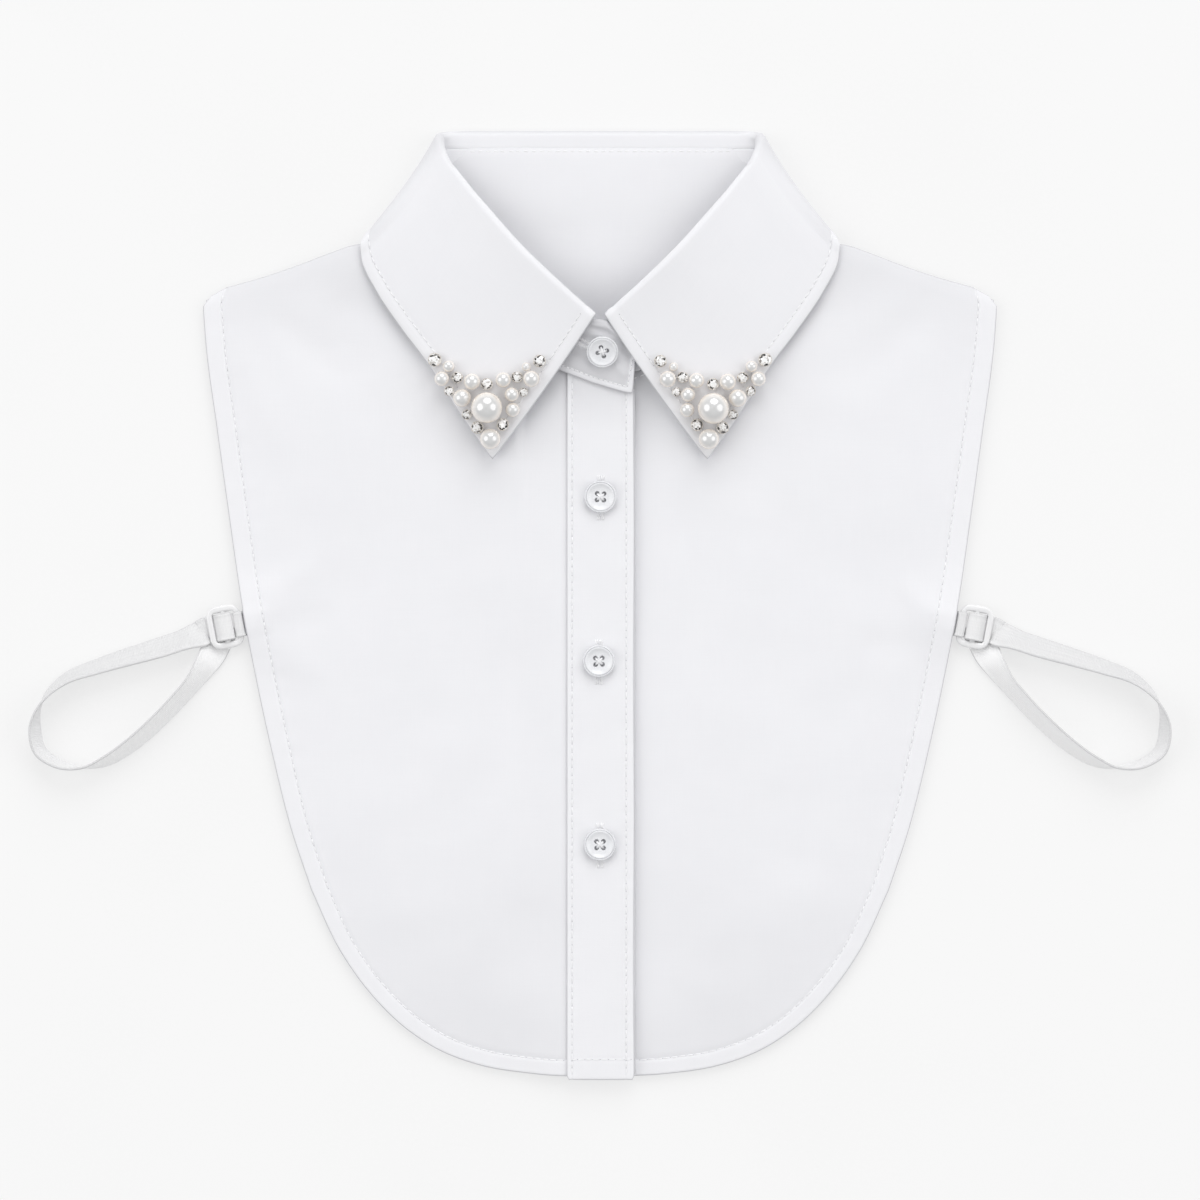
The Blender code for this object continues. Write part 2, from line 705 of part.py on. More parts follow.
def seat(mesh_object, x, y):
    """Where a vertical line meets the top of a piece, and the surface's normal there."""
    tree = BVHTree.FromObject(mesh_object, bpy.context.evaluated_depsgraph_get())
    start = Vector((x * MM, y * MM, ABOVE_ALL * MM))
    point, normal = tree.ray_cast(start, Vector((0, 0, -1)))[:2]
    return point, normal if normal.z > 0 else -normal


def add_button(name, mesh, base, x, y, turn):
    """One button, square to the slope under its foot and clear of what rises there."""
    point = seat(base, x, y)[0]
    foot = BUTTON_FOOT
    tilt_x = seat(base, x + foot, y)[0] - seat(base, x - foot, y)[0]
    tilt_y = seat(base, x, y + foot)[0] - seat(base, x, y - foot)[0]
    normal = tilt_x.cross(tilt_y).normalized()
    lift = max(
        (seat(base, x + dx, y + dy)[0] - point).dot(normal)
        for dx in (-foot, 0.0, foot)
        for dy in (-foot, 0.0, foot)
    )
    obj = bpy.data.objects.new(name, mesh)
    bpy.context.scene.collection.objects.link(obj)
    facing = Vector((0, 0, 1)).rotation_difference(normal).to_matrix().to_4x4()
    spin = Matrix.Rotation(math.radians(turn), 4, "Z")
    raised = point + normal * ((BUTTON_THICKNESS / 2 + GAP) * MM + max(lift, 0.0))
    obj.matrix_world = Matrix.Translation(raised) @ facing @ spin
    return obj


def add_pearls(leaf, side, label):
    for number, (x, y, radius) in enumerate(PEARLS, 1):
        point, normal = seat(leaf, x * side, y)
        bpy.ops.mesh.primitive_uv_sphere_add(segments=12, ring_count=7, radius=radius * MM)
        bead = bpy.context.object
        bead.name = f"pearl_{label}_{number}"
        bead.location = point + normal * ((radius + GAP) * MM)
        bead.data.shade_smooth()
        bead.data.materials.append(pearl())


# Elastic, tab and slider


def slider_plane(side):
    """Origin, across and along directions of the slider, seen from above."""
    turn = math.radians(SLIDER_TURN)
    across = np.array([-math.cos(turn), math.sin(turn), 0.0])
    along = np.array([math.sin(turn), math.cos(turn), 0.0])
    origin = np.array([SLIDER_CENTRE[0], SLIDER_CENTRE[1], 0.0])
    flip = np.array([side, 1.0, 1.0])
    return origin * flip, across * flip, along * flip


def band(name, centres, widths, width, thickness, finish):
    """A flat band along the centres, its width laid along the given directions."""
    headings = unit(np.gradient(centres, axis=0))
    widths = unit(widths - headings * (widths * headings).sum(axis=1, keepdims=True))
    faces_up = unit(np.cross(headings, widths))
    left = centres - widths * width / 2
    right = centres + widths * width / 2
    grid = np.stack([left, right], axis=1)
    push = faces_up[:, None] * thickness / 2
    return add_object(name, *shell(grid + push, grid - push), finish)


def strap(side, label):
    origin, across, along = slider_plane(1)
    wrap = np.array([origin + across * a + np.array([0.0, 0.0, z]) for a, z in STRAP_WRAP])
    wrap_widths = np.repeat(-along[None], len(wrap), axis=0)
    loop = np.array(STRAP_LOOP, float)
    ends = np.array([(*place, 0.0) for place in STRAP_UNDER_END])
    free = np.concatenate([loop, ends])
    heading = unit(np.gradient(free[:, :2], axis=0))
    inside = np.stack([heading[:, 1], -heading[:, 0]], axis=1)
    lean = np.radians(free[:, 2])
    widths = np.stack(
        [inside[:, 0] * np.cos(lean), inside[:, 1] * np.cos(lean), np.sin(lean)], axis=1
    )
    height = STRAP_WIDTH / 2 * np.abs(np.sin(lean)) + STRAP_WALL / 2 * np.abs(np.cos(lean))
    height[0] = max(height[0], STRAP_WRAP[0][1])
    centres = np.concatenate([free[:, :2], height[:, None] + STRAP_CLEAR], axis=1)
    rows = np.concatenate(
        [np.concatenate([wrap, wrap_widths], axis=1), np.concatenate([centres, widths], axis=1)]
    )
    where = np.linspace(0, len(rows) - 1, 2 * len(rows) - 1)
    smooth = curve_through(rows, where)
    flip = np.array([side, 1.0, 1.0])
    return band(
        f"strap_{label}", smooth[:, :3] * flip, smooth[:, 3:] * flip, STRAP_WIDTH, STRAP_WALL, elastic()
    )


def tab(side, label):
    origin, across, along = slider_plane(side)
    path = np.array([origin + across * a + np.array([0.0, 0.0, z]) for a, z in TAB_PATH])
    smooth = curve_through(path, np.linspace(0, len(path) - 1, 2 * len(path) - 1))
    widths = np.repeat(along[None], len(smooth), axis=0)
    return band(f"tab_{label}", smooth, widths, TAB_WIDTH, TAB_WALL, elastic())


def slider(side, label):
    """A moulded frame with two slots and a middle bar, its corners and edges rounded."""
    origin, across, along = slider_plane(side)
    half_x, half_y = SLIDER_SIZE[0] / 2, SLIDER_SIZE[1] / 2

    def rounded(half_wide, half_high, radius, centre=0.0):
        loop = []
        for quarter, (sx, sy) in enumerate(((1, 1), (-1, 1), (-1, -1), (1, -1))):
            for k in range(5):
                turn = math.radians(90 * quarter + 22.5 * k)
                x = sx * (half_wide - radius) + radius * math.cos(turn)
                y = sy * (half_high - radius) + radius * math.sin(turn)
                loop.append((x + centre, y))
        return loop

    def prism(name, loop, bottom, top):
        count = len(loop)
        points = []
        for z in (bottom, top):
            points += [tuple(origin + across * x + along * y + np.array([0, 0, z])) for x, y in loop]
        faces = [tuple(range(count)), tuple(range(2 * count - 1, count - 1, -1))]
        faces += [(k, (k + 1) % count, count + (k + 1) % count, count + k) for k in range(count)]
        return add_object(name, points, faces, clear_plastic(), smooth=False)

    top = SLIDER_BOTTOM + SLIDER_THICKNESS
    frame = prism(f"slider_{label}", rounded(half_x, half_y, SLIDER_CORNER), SLIDER_BOTTOM, top)
    slot = (half_x - SLIDER_BAR - SLIDER_BAR / 2) / 2
    for number, centre in enumerate((-1, 1)):
        middle = centre * (SLIDER_BAR / 2 + slot)
        loop = rounded(slot, half_y - SLIDER_BAR * SLIDER_ENDS, SLIDER_SLOT_CORNER, middle)
        cutter = prism(f"slot_{label}_{number}", loop, SLIDER_BOTTOM - 2, top + 2)
        cutter.hide_render = True
        cutter.display_type = "WIRE"
        cut = frame.modifiers.new("slot", "BOOLEAN")
        cut.operation = "DIFFERENCE"
        cut.solver = "EXACT"
        cut.object = cutter
    soften = frame.modifiers.new("soften", "BEVEL")
    soften.width = SLIDER_SOFTEN * MM
    soften.segments = 1
    soften.limit_method = "ANGLE"
    soften.angle_limit = math.radians(50)
    return frame


def build():
    clear_scene()
    back_panel()
    front_panel("front_right", False, 1.0)
    front_left = front_panel("front_left", True, -1.0)
    band_object = placket(front_left)
    leaf, stand = whole_collar()
    mesh = button_mesh()
    add_button("button_1", mesh, stand, *TOP_BUTTON_PLACE, TOP_BUTTON_TURN)
    for number, (x, y) in enumerate(BUTTON_PLACES, 2):
        add_button(f"button_{number}", mesh, band_object, x, y, 0.0)
    for side, label in ((-1, "left"), (1, "right")):
        add_pearls(leaf, side, label)
        strap(side, label)
        tab(side, label)
        slider(side, label)


build()
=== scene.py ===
# %% [markdown]
# # A detachable shirt collar, laid flat
#
# The thing is a dickey: a shirt collar with just enough shirt below it to fill the neck of a
# jumper. Two fronts, a back, a buttonhole band, a collar of stand and leaf, four buttons, bead
# clusters on the collar points and an elastic loop on each side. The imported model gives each
# piece its place and its size. This file dresses them: finer cloth on the same forms, sewing,
# beads, and finishes made of nodes.

# %% Open the frame
import json
import math
from collections import namedtuple

import bmesh
import bpy
import numpy as np
from mathutils import Matrix, Vector
from mathutils.bvhtree import BVHTree

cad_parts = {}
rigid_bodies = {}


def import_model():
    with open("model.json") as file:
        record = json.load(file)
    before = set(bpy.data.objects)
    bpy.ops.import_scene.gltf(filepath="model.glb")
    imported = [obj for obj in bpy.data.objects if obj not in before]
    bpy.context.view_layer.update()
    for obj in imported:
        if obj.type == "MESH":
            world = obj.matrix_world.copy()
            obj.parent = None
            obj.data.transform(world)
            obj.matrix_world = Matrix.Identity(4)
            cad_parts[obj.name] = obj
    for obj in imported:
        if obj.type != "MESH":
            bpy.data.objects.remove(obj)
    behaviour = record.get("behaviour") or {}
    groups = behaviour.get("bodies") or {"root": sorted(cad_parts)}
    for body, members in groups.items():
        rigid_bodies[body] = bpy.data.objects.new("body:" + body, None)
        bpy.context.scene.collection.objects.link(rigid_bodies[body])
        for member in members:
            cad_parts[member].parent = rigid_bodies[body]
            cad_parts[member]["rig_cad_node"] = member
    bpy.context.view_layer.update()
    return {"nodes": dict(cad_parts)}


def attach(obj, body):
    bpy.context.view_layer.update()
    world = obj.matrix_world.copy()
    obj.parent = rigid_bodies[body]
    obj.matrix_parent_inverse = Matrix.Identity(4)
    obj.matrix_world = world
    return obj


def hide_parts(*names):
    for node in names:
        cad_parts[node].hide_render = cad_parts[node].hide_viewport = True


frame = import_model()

MM = 0.001
SIDES = (("left", -1.0), ("right", 1.0))
print("pieces in the frame:", len(frame["nodes"]))

# %% [markdown]
# ## Curves and soft steps
#
# A pattern cutter draws a seam as a smooth line through a few marks. The same is done here: a
# short table of marks and a curve that runs through them. All sizes are in millimetres and turn
# into metres only when a mesh is made, because small whole numbers are easier to read and check.


# %% Curves through marks
def unit(vector):
    vector = np.asarray(vector, float)
    return vector / np.maximum(np.linalg.norm(vector, axis=-1, keepdims=True), 1e-9)


def soft_step(value, low, high):
    share = np.clip((np.asarray(value, float) - low) / (high - low), 0.0, 1.0)
    return share * share * (3.0 - 2.0 * share)


def soft_fall(value, low, high):
    return 1.0 - soft_step(value, low, high)


def bump_at(value, centre, width):
    """A soft ridge of height 1 at the centre."""
    return np.exp(-(((np.asarray(value, float) - centre) / width) ** 2))


def curve_through(marks, where):
    """Points on the smooth curve through the marks, at the given row numbers."""
    marks = np.asarray(marks, float)
    where = np.asarray(where, float)
    last = len(marks) - 1
    chords = np.maximum(np.linalg.norm(np.diff(marks[:, :3], axis=0), axis=1), 1e-6)
    steps = np.diff(marks, axis=0) / chords[:, None]
    slopes = np.empty_like(marks)
    slopes[0] = steps[0]
    slopes[-1] = steps[-1]
    weights = chords[1:, None] / (chords[1:, None] + chords[:-1, None])
    slopes[1:-1] = steps[:-1] * weights + steps[1:] * (1.0 - weights)
    row = np.minimum(where.astype(int), last - 1)
    s = (where - row)[:, None]
    width = chords[row][:, None]
    return (
        (2 * s**3 - 3 * s**2 + 1) * marks[row]
        + (s**3 - 2 * s**2 + s) * width * slopes[row]
        + (3 * s**2 - 2 * s**3) * marks[row + 1]
        + (s**3 - s**2) * width * slopes[row + 1]
    )


def lengths_along(points):
    steps = np.linalg.norm(np.diff(points, axis=0), axis=1)
    return np.concatenate([[0.0], np.cumsum(steps)])


def even_points(marks, count):
    """The curve through the marks, cut into equal lengths."""
    fine = curve_through(marks, np.linspace(0, len(marks) - 1, 40 * len(marks)))
    lengths = lengths_along(fine)
    wanted = np.linspace(0, lengths[-1], count)
    return np.stack([np.interp(wanted, lengths, fine[:, k]) for k in range(fine.shape[1])], axis=1)


print("halfway up a soft step:", float(soft_step(0.5, 0, 1)))

# %% [markdown]
# ## Unevenness
#
# Cloth that a hand has smoothed down still swells and dips a little. Blender has noise textures
# for materials, but here the shape itself should swell, so a few long sine waves in mixed
# directions are added up. A seeded generator picks them, and every run gives the same cloth.


# %% Waves for uneven cloth
def swell(x, y, length, seed, waves=6):
    """Gentle waves about one wavelength long, between roughly -1 and 1."""
    random = np.random.default_rng(seed)
    total = np.zeros(np.broadcast(x, y).shape)
    for _ in range(waves):
        heading = random.uniform(0, math.pi)
        size = length * random.uniform(0.6, 1.7)
        phase = random.uniform(0, 2 * math.pi)
        across = np.asarray(x) * math.cos(heading) + np.asarray(y) * math.sin(heading)
        total = total + np.sin(2 * math.pi * across / size + phase)
    return total / waves * 1.6


def crease_field(x, y, creases):
    """Troughs and ridges drawn one by one: from, to, height (below 0 for a trough), half width."""
    total = np.zeros(np.broadcast(x, y).shape)
    for x0, y0, x1, y1, height, half_width in creases:
        run = np.array([x1 - x0, y1 - y0], float)
        length = np.linalg.norm(run)
        run = run / length
        along = (x - x0) * run[0] + (y - y0) * run[1]
        off = -(x - x0) * run[1] + (y - y0) * run[0]
        off = off + 0.16 * half_width * np.sin(along / length * 5.0 + x0)
        share = along / length
        ends = soft_step(share, -0.08, 0.3) * soft_fall(share, 0.62, 1.08)
        width = half_width * (0.75 + 0.5 * np.clip(share, 0, 1))
        total = total + height * ends * np.exp(-((off / width) ** 2))
    return total


print("swell at the middle:", round(float(swell(0, 0, 60, 1)), 3))

# %% [markdown]
# ## From points to a closed piece of cloth
#
# A piece of cloth is two sheets of points, the right side and the wrong side, joined by a rim. A
# Solidify modifier could do that, but it leaves a square edge. Turned edges of a shirt are round,
# so the rim here has three more rows of points on a half circle. The UV map holds the flat cloth
# in metres, which lets a weave keep its real size on every piece.


# %% Mesh objects
def add_object(name, data):
    obj = bpy.data.objects.new(name, data)
    bpy.context.scene.collection.objects.link(obj)
    return obj


def new_object(name, points, faces, uv, finish, smooth=True, doubled_and_painted_light=None):
    """A mesh object from points in millimetres; uv has one pair for each point.

    doubled_and_painted_light says for each point how far cloth is folded double there, and so
    whiter, from 0 to 1;
    on the elastic it is painted light instead. Below 0 it is painted shade, down to -1 on the
    outermost edge."""
    mesh = bpy.data.meshes.new(name)
    mesh.from_pydata((np.asarray(points) * MM).tolist(), [], faces)
    corner_points = np.zeros(len(mesh.loops), np.int32)
    mesh.loops.foreach_get("vertex_index", corner_points)
    layer = mesh.uv_layers.new(name="flat_cloth")
    layer.uv.foreach_set("vector", np.asarray(uv, np.float32)[corner_points].ravel())
    shape = bmesh.new()
    shape.from_mesh(mesh)
    bmesh.ops.recalc_face_normals(shape, faces=shape.faces)
    shape.to_mesh(mesh)
    shape.free()
    if smooth:
        mesh.shade_smooth()
    if doubled_and_painted_light is not None:
        share = mesh.attributes.new("doubled_and_painted_light", "FLOAT", "POINT")
        share.data.foreach_set("value", np.asarray(doubled_and_painted_light, np.float32))
    mesh.materials.append(finish)
    obj = add_object(name, mesh)
    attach(obj, "root")
    return obj


# %% Two sheets and a rim
def cloth_piece(name, right_side, wrong_side, quads, border, inner, uv, finish, doubled_and_painted_light=None):
    """Right and wrong side with the same quads, and a round rim along the border loop."""
    doubled_and_painted_light = np.zeros(len(right_side)) if doubled_and_painted_light is None else np.asarray(doubled_and_painted_light).ravel()
    right_side = np.asarray(right_side, float)
    wrong_side = np.asarray(wrong_side, float)
    count = len(right_side)
    quads = np.asarray(quads)
    border = np.asarray(border)
    middle = (right_side + wrong_side)[border] / 2
    half = (right_side - wrong_side)[border] / 2
    inside = ((right_side + wrong_side) / 2)[np.asarray(inner)]
    outward = unit(middle - inside) * np.linalg.norm(half, axis=1, keepdims=True)
    rims = []
    for angle in (50, 0, -50):
        turn = math.radians(angle)
        rims.append(middle + outward * math.cos(turn) + half * math.sin(turn))
    points = np.concatenate([right_side, wrong_side, *rims])
    uv = np.asarray(uv, float)
    uvs = np.concatenate([uv, uv, *[uv[border]] * len(rims)])
    faces = np.concatenate([quads, quads[:, ::-1] + count])
    size = len(border)
    rows = [border] + [2 * count + k * size + np.arange(size) for k in range(len(rims))]
    rows.append(border + count)
    for upper, lower in zip(rows, rows[1:]):
        faces = np.concatenate(
            [faces, np.stack([upper, lower, np.roll(lower, -1), np.roll(upper, -1)], axis=1)]
        )
    # painted shade: the rim rows are painted darkest, -1, along every edge
    layers = np.concatenate([doubled_and_painted_light, doubled_and_painted_light, *[np.full(len(border), -1.0)] * len(rims)])
    return new_object(name, points, faces.tolist(), uvs, finish, doubled_and_painted_light=layers)


def grid_quads(rows, columns):
    corner = (np.arange(rows - 1)[:, None] * columns + np.arange(columns - 1)).ravel()
    return np.stack([corner, corner + columns, corner + columns + 1, corner + 1], axis=1)


def grid_border(rows, columns):
    """The loop round a grid, and for each of its points a neighbour further in."""
    number = np.arange(rows * columns).reshape(rows, columns)
    loop = np.concatenate([number[0], number[1:, -1], number[-1, -2::-1], number[-2:0:-1, 0]])
    row, column = loop // columns, loop % columns
    row = np.clip(row, 1, rows - 2)
    column = np.clip(column, 1, columns - 2)
    return loop, number[row, column]


def cloth_grid(name, right_side, wrong_side, uv, finish, doubled_and_painted_light=None):
    rows, columns = right_side.shape[:2]
    border, inner = grid_border(rows, columns)
    sheets = (right_side.reshape(-1, 3), wrong_side.reshape(-1, 3))
    quads = grid_quads(rows, columns)
    return cloth_piece(name, *sheets, quads, border, inner, uv.reshape(-1, 2), finish, doubled_and_painted_light)


print("quads in a grid of 4 by 3 points:", len(grid_quads(4, 3)))

# %% [markdown]
# ## How high each layer lies
#
# Laid flat, the garment is a stack: the back of the collar leaf, the back panel over it, the lower
# front, the upper front, the band, the buttons. Each layer's height is a small function of the
# place, made of soft steps, so that a layer rises over what lies under it and comes down beside
# it. One function for each cause keeps the cloth free of sudden edges.

# %% Layer heights
CLOTH = 1.2
COLLAR_WALL = 1.4
GAP = 0.3
LAYER = CLOTH + GAP
SEAM = 0.45
HEM_RAISE = 0.12
PLACKET_LEFT = -12.6
PLACKET_RIGHT = 12.9
# the elastic tab below a front's hem, and the slider that it holds
TAB_WIDTH = 9.6
SLIDER_CENTRE = (142.2, -8.3)
SLIDER_TURN = 10.8

BODY_EDGE = (
    (150.9, 115.4), (149.5, 96.9), (145.4, 66.5), (141.2, 36.1), (136.8, 5.7), (131.3, -24.7),
    (124.8, -55.1), (117.2, -85.5), (109.6, -108.3), (98.8, -131.1), (88.2, -146.3),
    (72.8, -161.5), (60.8, -169.1), (45.2, -174.8), (24.5, -178), (0, -178.8),
)
SIDE_ROWS = 9
SHOULDER_EDGE = (
    (74.6, 138.4), (84, 136.9), (93.5, 136), (102.6, 133), (114.8, 128.4), (126.9, 124.3),
    (139.1, 120.8), (149.4, 117.9),
)


def over_leaf(x, y):
    """The back panel rides over the back of the collar leaf."""
    share = soft_step(y, 110, 132) * soft_fall(np.abs(x), 91.0, 115.0)
    return 1.9 * share


def over_tab(x, y):
    """A front's hem rides over the elastic tab."""
    near = bump_at(y, -6, 14)
    edge = np.interp(-y, [-row[1] for row in BODY_EDGE], [row[0] for row in BODY_EDGE])
    return 2.4 * near * soft_step(x, edge - 30, edge - 1)


def hem_width(y):
    """The hem is turned in a little less on the curve than on the straight side."""
    return 6.7 + 1.2 * soft_step(y, -140, -30)


def over_front(x):
    """The buttoned front lies on the other one near the centre line."""
    return 2.05 * soft_fall(x, 14, 34)


print("back panel over the leaf:", float(over_leaf(0.0, 140.0)), "mm")

# %% [markdown]
# ## The collar's marks
#
# A collar is easiest to describe by sections cut through it, like slices: where its fold crests,
# where the leaf ends and where the stand meets the neck seam. Thirteen slices from the middle of
# the back to the front edge hold the whole form, and the fronts take their neck edge from them
# too, so panel and collar always meet.

# %% Collar sections
# fold x, y, z | leaf edge x, y, z | neck seam x, y, z | leaf's inner edge and stand's upper edge,
# both measured from the crest | share of the step between the two sides of the closure
COLLAR_SECTIONS = (
    ((0, 179.3, 2.1), (0, 134.9, 0.7), (0, 146, 2.5), 5.5, 6.1, 0),
    ((20, 179.3, 2.1), (22, 134.9, 0.7), (20, 145.7, 2.5), 5.5, 6.1, 0),
    ((40, 179.3, 2.1), (46, 134.9, 0.7), (40, 144.8, 2.5), 5.5, 6.1, 0),
    ((52, 179.2, 2.3), (66, 135.1, 0.7), (56, 143.2, 2.5), 5.5, 6.1, 0),
    ((57.6, 178.9, 3.2), (81.5, 136.8, 0.9), (67.5, 141.2, 2.6), 5, 6, 0),
    ((60, 178.2, 5), (88.2, 139.9, 3.1), (73.4, 139.6, 3.4), 4.6, 5.9, 0),
    ((60, 176.3, 7), (90, 137.6, 5.8), (73.4, 137.4, 4.2), 4.6, 5.9, 0),
    ((58.6, 170.8, 8.8), (90.1, 132, 6.2), (71, 132.5, 4.5), 4.6, 5.9, 0),
    ((51, 159.9, 11.3), (84.4, 119.4, 6.4), (64.5, 124.8, 4.9), 5, 5.8, 0),
    ((41.4, 148.4, 13.8), (75.1, 105.6, 6.5), (55.5, 114.6, 5.2), 5, 5.6, 0),
    ((30.2, 135.7, 15.4), (64.3, 91.2, 6.6), (44.5, 104, 5.5), 4, 4.6, 0),
    ((16.9, 122.9, 15.6), (52.4, 72.7, 6.9), (30, 95, 6), 3, 3.6, 0.4),
    ((2.4, 109.9, 14.6), (40.7, 56, 7.4), (14.5, 88.8, 7), 1.6, 2.2, 1),
)
# The stand's ends run on past the leaf: top edge x, y, z | neck seam x, y, z
TOP_STAND_END = (
    ((-2.5, 107.2, 13.8), (3, 84.6, 7.3)),
    ((-7.7, 101.7, 11.3), (-4.5, 82.4, 7.3)),
    ((-12.1, 96.2, 9.9), (-9.8, 81, 7.2)),
    ((-13.2, 93, 9.3), (-11.8, 80.8, 7.2)),
)
UNDER_STAND_END = (
    ((-2.5, 106.3, 11.4), (3, 87.6, 2.8)),
    ((-7.5, 101.5, 9.8), (-5, 88.2, 2.8)),
    ((-9.5, 98.5, 9), (-9, 89.4, 2.8)),
)
UNDER_NECK_FRONT = (14.5, 88.8, 3.0)
UNDER_FRONT_REACH = 11.0
STAND_LAP = 1.4


def neck_seam(on_top):
    """A front's neck edge from the shoulder to the closure."""
    rows = [np.array(row[2], float) for row in COLLAR_SECTIONS[6:]]
    if on_top:
        rows += [np.array(row[1], float) for row in TOP_STAND_END[:3]]
        reach = -PLACKET_RIGHT
    else:
        rows[-1] = np.array(UNDER_NECK_FRONT)
        rows += [np.array(row[1], float) for row in UNDER_STAND_END]
        reach = -UNDER_FRONT_REACH
    last, before = rows[-1], rows[-2]
    rows[-1] = last + (last - before) * ((last[0] - reach) / (before[0] - last[0]))
    return np.array(rows)


print("marks along the upper front's neck edge:", len(neck_seam(True)))

# %% [markdown]
# ## Weaves as node groups
#
# Shirting is a plain weave: each thread goes over one and under the next. Seen close it is a
# checker of little hills, and its threads vary in thickness. The group works that out from the
# flat cloth's own metres, so it keeps its size on every piece. It gives out a height, for a Bump
# node, and a tone, for the colour. A group is built once and each material sets its own values.


# %% Node helpers
def new_group(name, vector, values, results):
    """A group with one vector input, inputs for these values and an output for each result."""
    group = bpy.data.node_groups.new(name, "ShaderNodeTree")
    group.interface.new_socket(vector, in_out="INPUT", socket_type="NodeSocketVector")
    for label, value in values.items():
        socket = group.interface.new_socket(label, in_out="INPUT", socket_type="NodeSocketFloat")
        socket.default_value = value
    for label in results:
        group.interface.new_socket(label, in_out="OUTPUT", socket_type="NodeSocketFloat")
    return group, group.nodes.new("NodeGroupInput"), group.nodes.new("NodeGroupOutput")


def give_out(group, out, **results):
    for label, value in results.items():
        group.links.new(value, out.inputs[label])


def calculate(tree, operation, first, second=None, third=None, clamp=False):
    node = tree.nodes.new("ShaderNodeMath")
    node.operation = operation
    node.use_clamp = clamp
    for socket, value in zip(node.inputs, (first, second, third)):
        if isinstance(value, (int, float)):
            socket.default_value = value
        elif value is not None:
            tree.links.new(value, socket)
    return node.outputs[0]


def noise(tree, vector, scale, detail=3.0, roughness=0.5):
    node = tree.nodes.new("ShaderNodeTexNoise")
    node.inputs["Detail"].default_value = detail
    node.inputs["Roughness"].default_value = roughness
    if isinstance(scale, (int, float)):
        node.inputs["Scale"].default_value = scale
    else:
        tree.links.new(scale, node.inputs["Scale"])
    tree.links.new(vector, node.inputs["Vector"])
    return node.outputs["Fac"]


def stretched(tree, vector, scale):
    node = tree.nodes.new("ShaderNodeVectorMath")
    node.operation = "MULTIPLY"
    node.inputs[1].default_value = scale
    tree.links.new(vector, node.inputs[0])
    return node.outputs[0]


def split(tree, vector):
    node = tree.nodes.new("ShaderNodeSeparateXYZ")
    tree.links.new(vector, node.inputs[0])
    return node.outputs


print("node groups so far:", len(bpy.data.node_groups))


# %% Poplin weave group
def poplin_group():
    values = {"Threads a metre": 3600.0, "Thick threads": 0.5}
    group, given, out = new_group("Poplin weave", "Flat cloth", values, ("Height", "Tone"))
    place = given.outputs["Flat cloth"]
    across, along, _ = split(group, place)
    turn = calculate(group, "MULTIPLY", given.outputs["Threads a metre"], math.pi)
    warp = calculate(group, "SINE", calculate(group, "MULTIPLY", across, turn))
    weft = calculate(group, "SINE", calculate(group, "MULTIPLY", along, turn))
    checker = calculate(group, "MULTIPLY", warp, weft)
    hills = calculate(group, "MULTIPLY_ADD", checker, 0.5, 0.5)
    thick_warp = noise(group, stretched(group, place, (2600.0, 60.0, 1.0)), 1.0, 2.0)
    thick_weft = noise(group, stretched(group, place, (60.0, 2600.0, 1.0)), 1.0, 2.0)
    thick = calculate(group, "ADD", thick_warp, thick_weft)
    height = calculate(group, "MULTIPLY_ADD", thick, given.outputs["Thick threads"], hills)
    broad = noise(group, place, 38.0, 4.0, 0.6)
    tone = calculate(group, "MULTIPLY_ADD", thick, 0.25, calculate(group, "MULTIPLY", broad, 0.5))
    give_out(group, out, Height=height, Tone=tone)
    return group


POPLIN = poplin_group()
print("poplin group nodes:", len(POPLIN.nodes))

# %% [markdown]
# ## The white cotton
#
# Bleached shirting is not pure white: it is a shade below the paper it lies on and leans to blue,
# because white cloth is dyed with a trace of blue. One layer lets some light through, so hems and
# edges, where it is folded double, look whiter. Painted shade greys the rims, the cloth beside deep
# folds, the closure and the shoulders. The mesh says where both are. Cotton has no gloss but a
# slight sheen where fibres stand up. The Principled shader has both, so only the weave's tone and
# height come from the group.


# %% Finish helpers
def new_finish(name):
    finish = bpy.data.materials.new(name)
    finish.use_nodes = True
    tree = finish.node_tree
    return finish, tree, tree.nodes["Principled BSDF"]


def use_group(tree, group, place, **values):
    """A node of the group, fed with a place on the surface."""
    node = tree.nodes.new("ShaderNodeGroup")
    node.node_tree = group
    tree.links.new(place, node.inputs[0])
    for label, value in values.items():
        node.inputs[label.replace("_", " ")].default_value = value
    return node


def flat_cloth(tree):
    node = tree.nodes.new("ShaderNodeUVMap")
    node.uv_map = "flat_cloth"
    return node.outputs["UV"]


def object_place(tree):
    return tree.nodes.new("ShaderNodeTexCoord").outputs["Object"]


def between(tree, share, low, high):
    """A colour between two, by a share that varies over the surface."""
    ramp = tree.nodes.new("ShaderNodeValToRGB")
    ramp.color_ramp.elements[0].position = 0.25
    ramp.color_ramp.elements[1].position = 0.75
    ramp.color_ramp.elements[0].color = (*low, 1.0)
    ramp.color_ramp.elements[1].color = (*high, 1.0)
    tree.links.new(share, ramp.inputs[0])
    return ramp.outputs["Color"]


def shifted(tree, colour, share, other):
    """The colour, shifted by a share towards another one."""
    node = tree.nodes.new("ShaderNodeMix")
    node.data_type = "RGBA"
    node.inputs["B"].default_value = (*other, 1.0)
    tree.links.new(share, node.inputs["Factor"])
    tree.links.new(colour, node.inputs["A"])
    return node.outputs["Result"]


def read_doubled_and_painted_light(tree):
    node = tree.nodes.new("ShaderNodeAttribute")
    node.attribute_name = "doubled_and_painted_light"
    return node.outputs["Fac"]


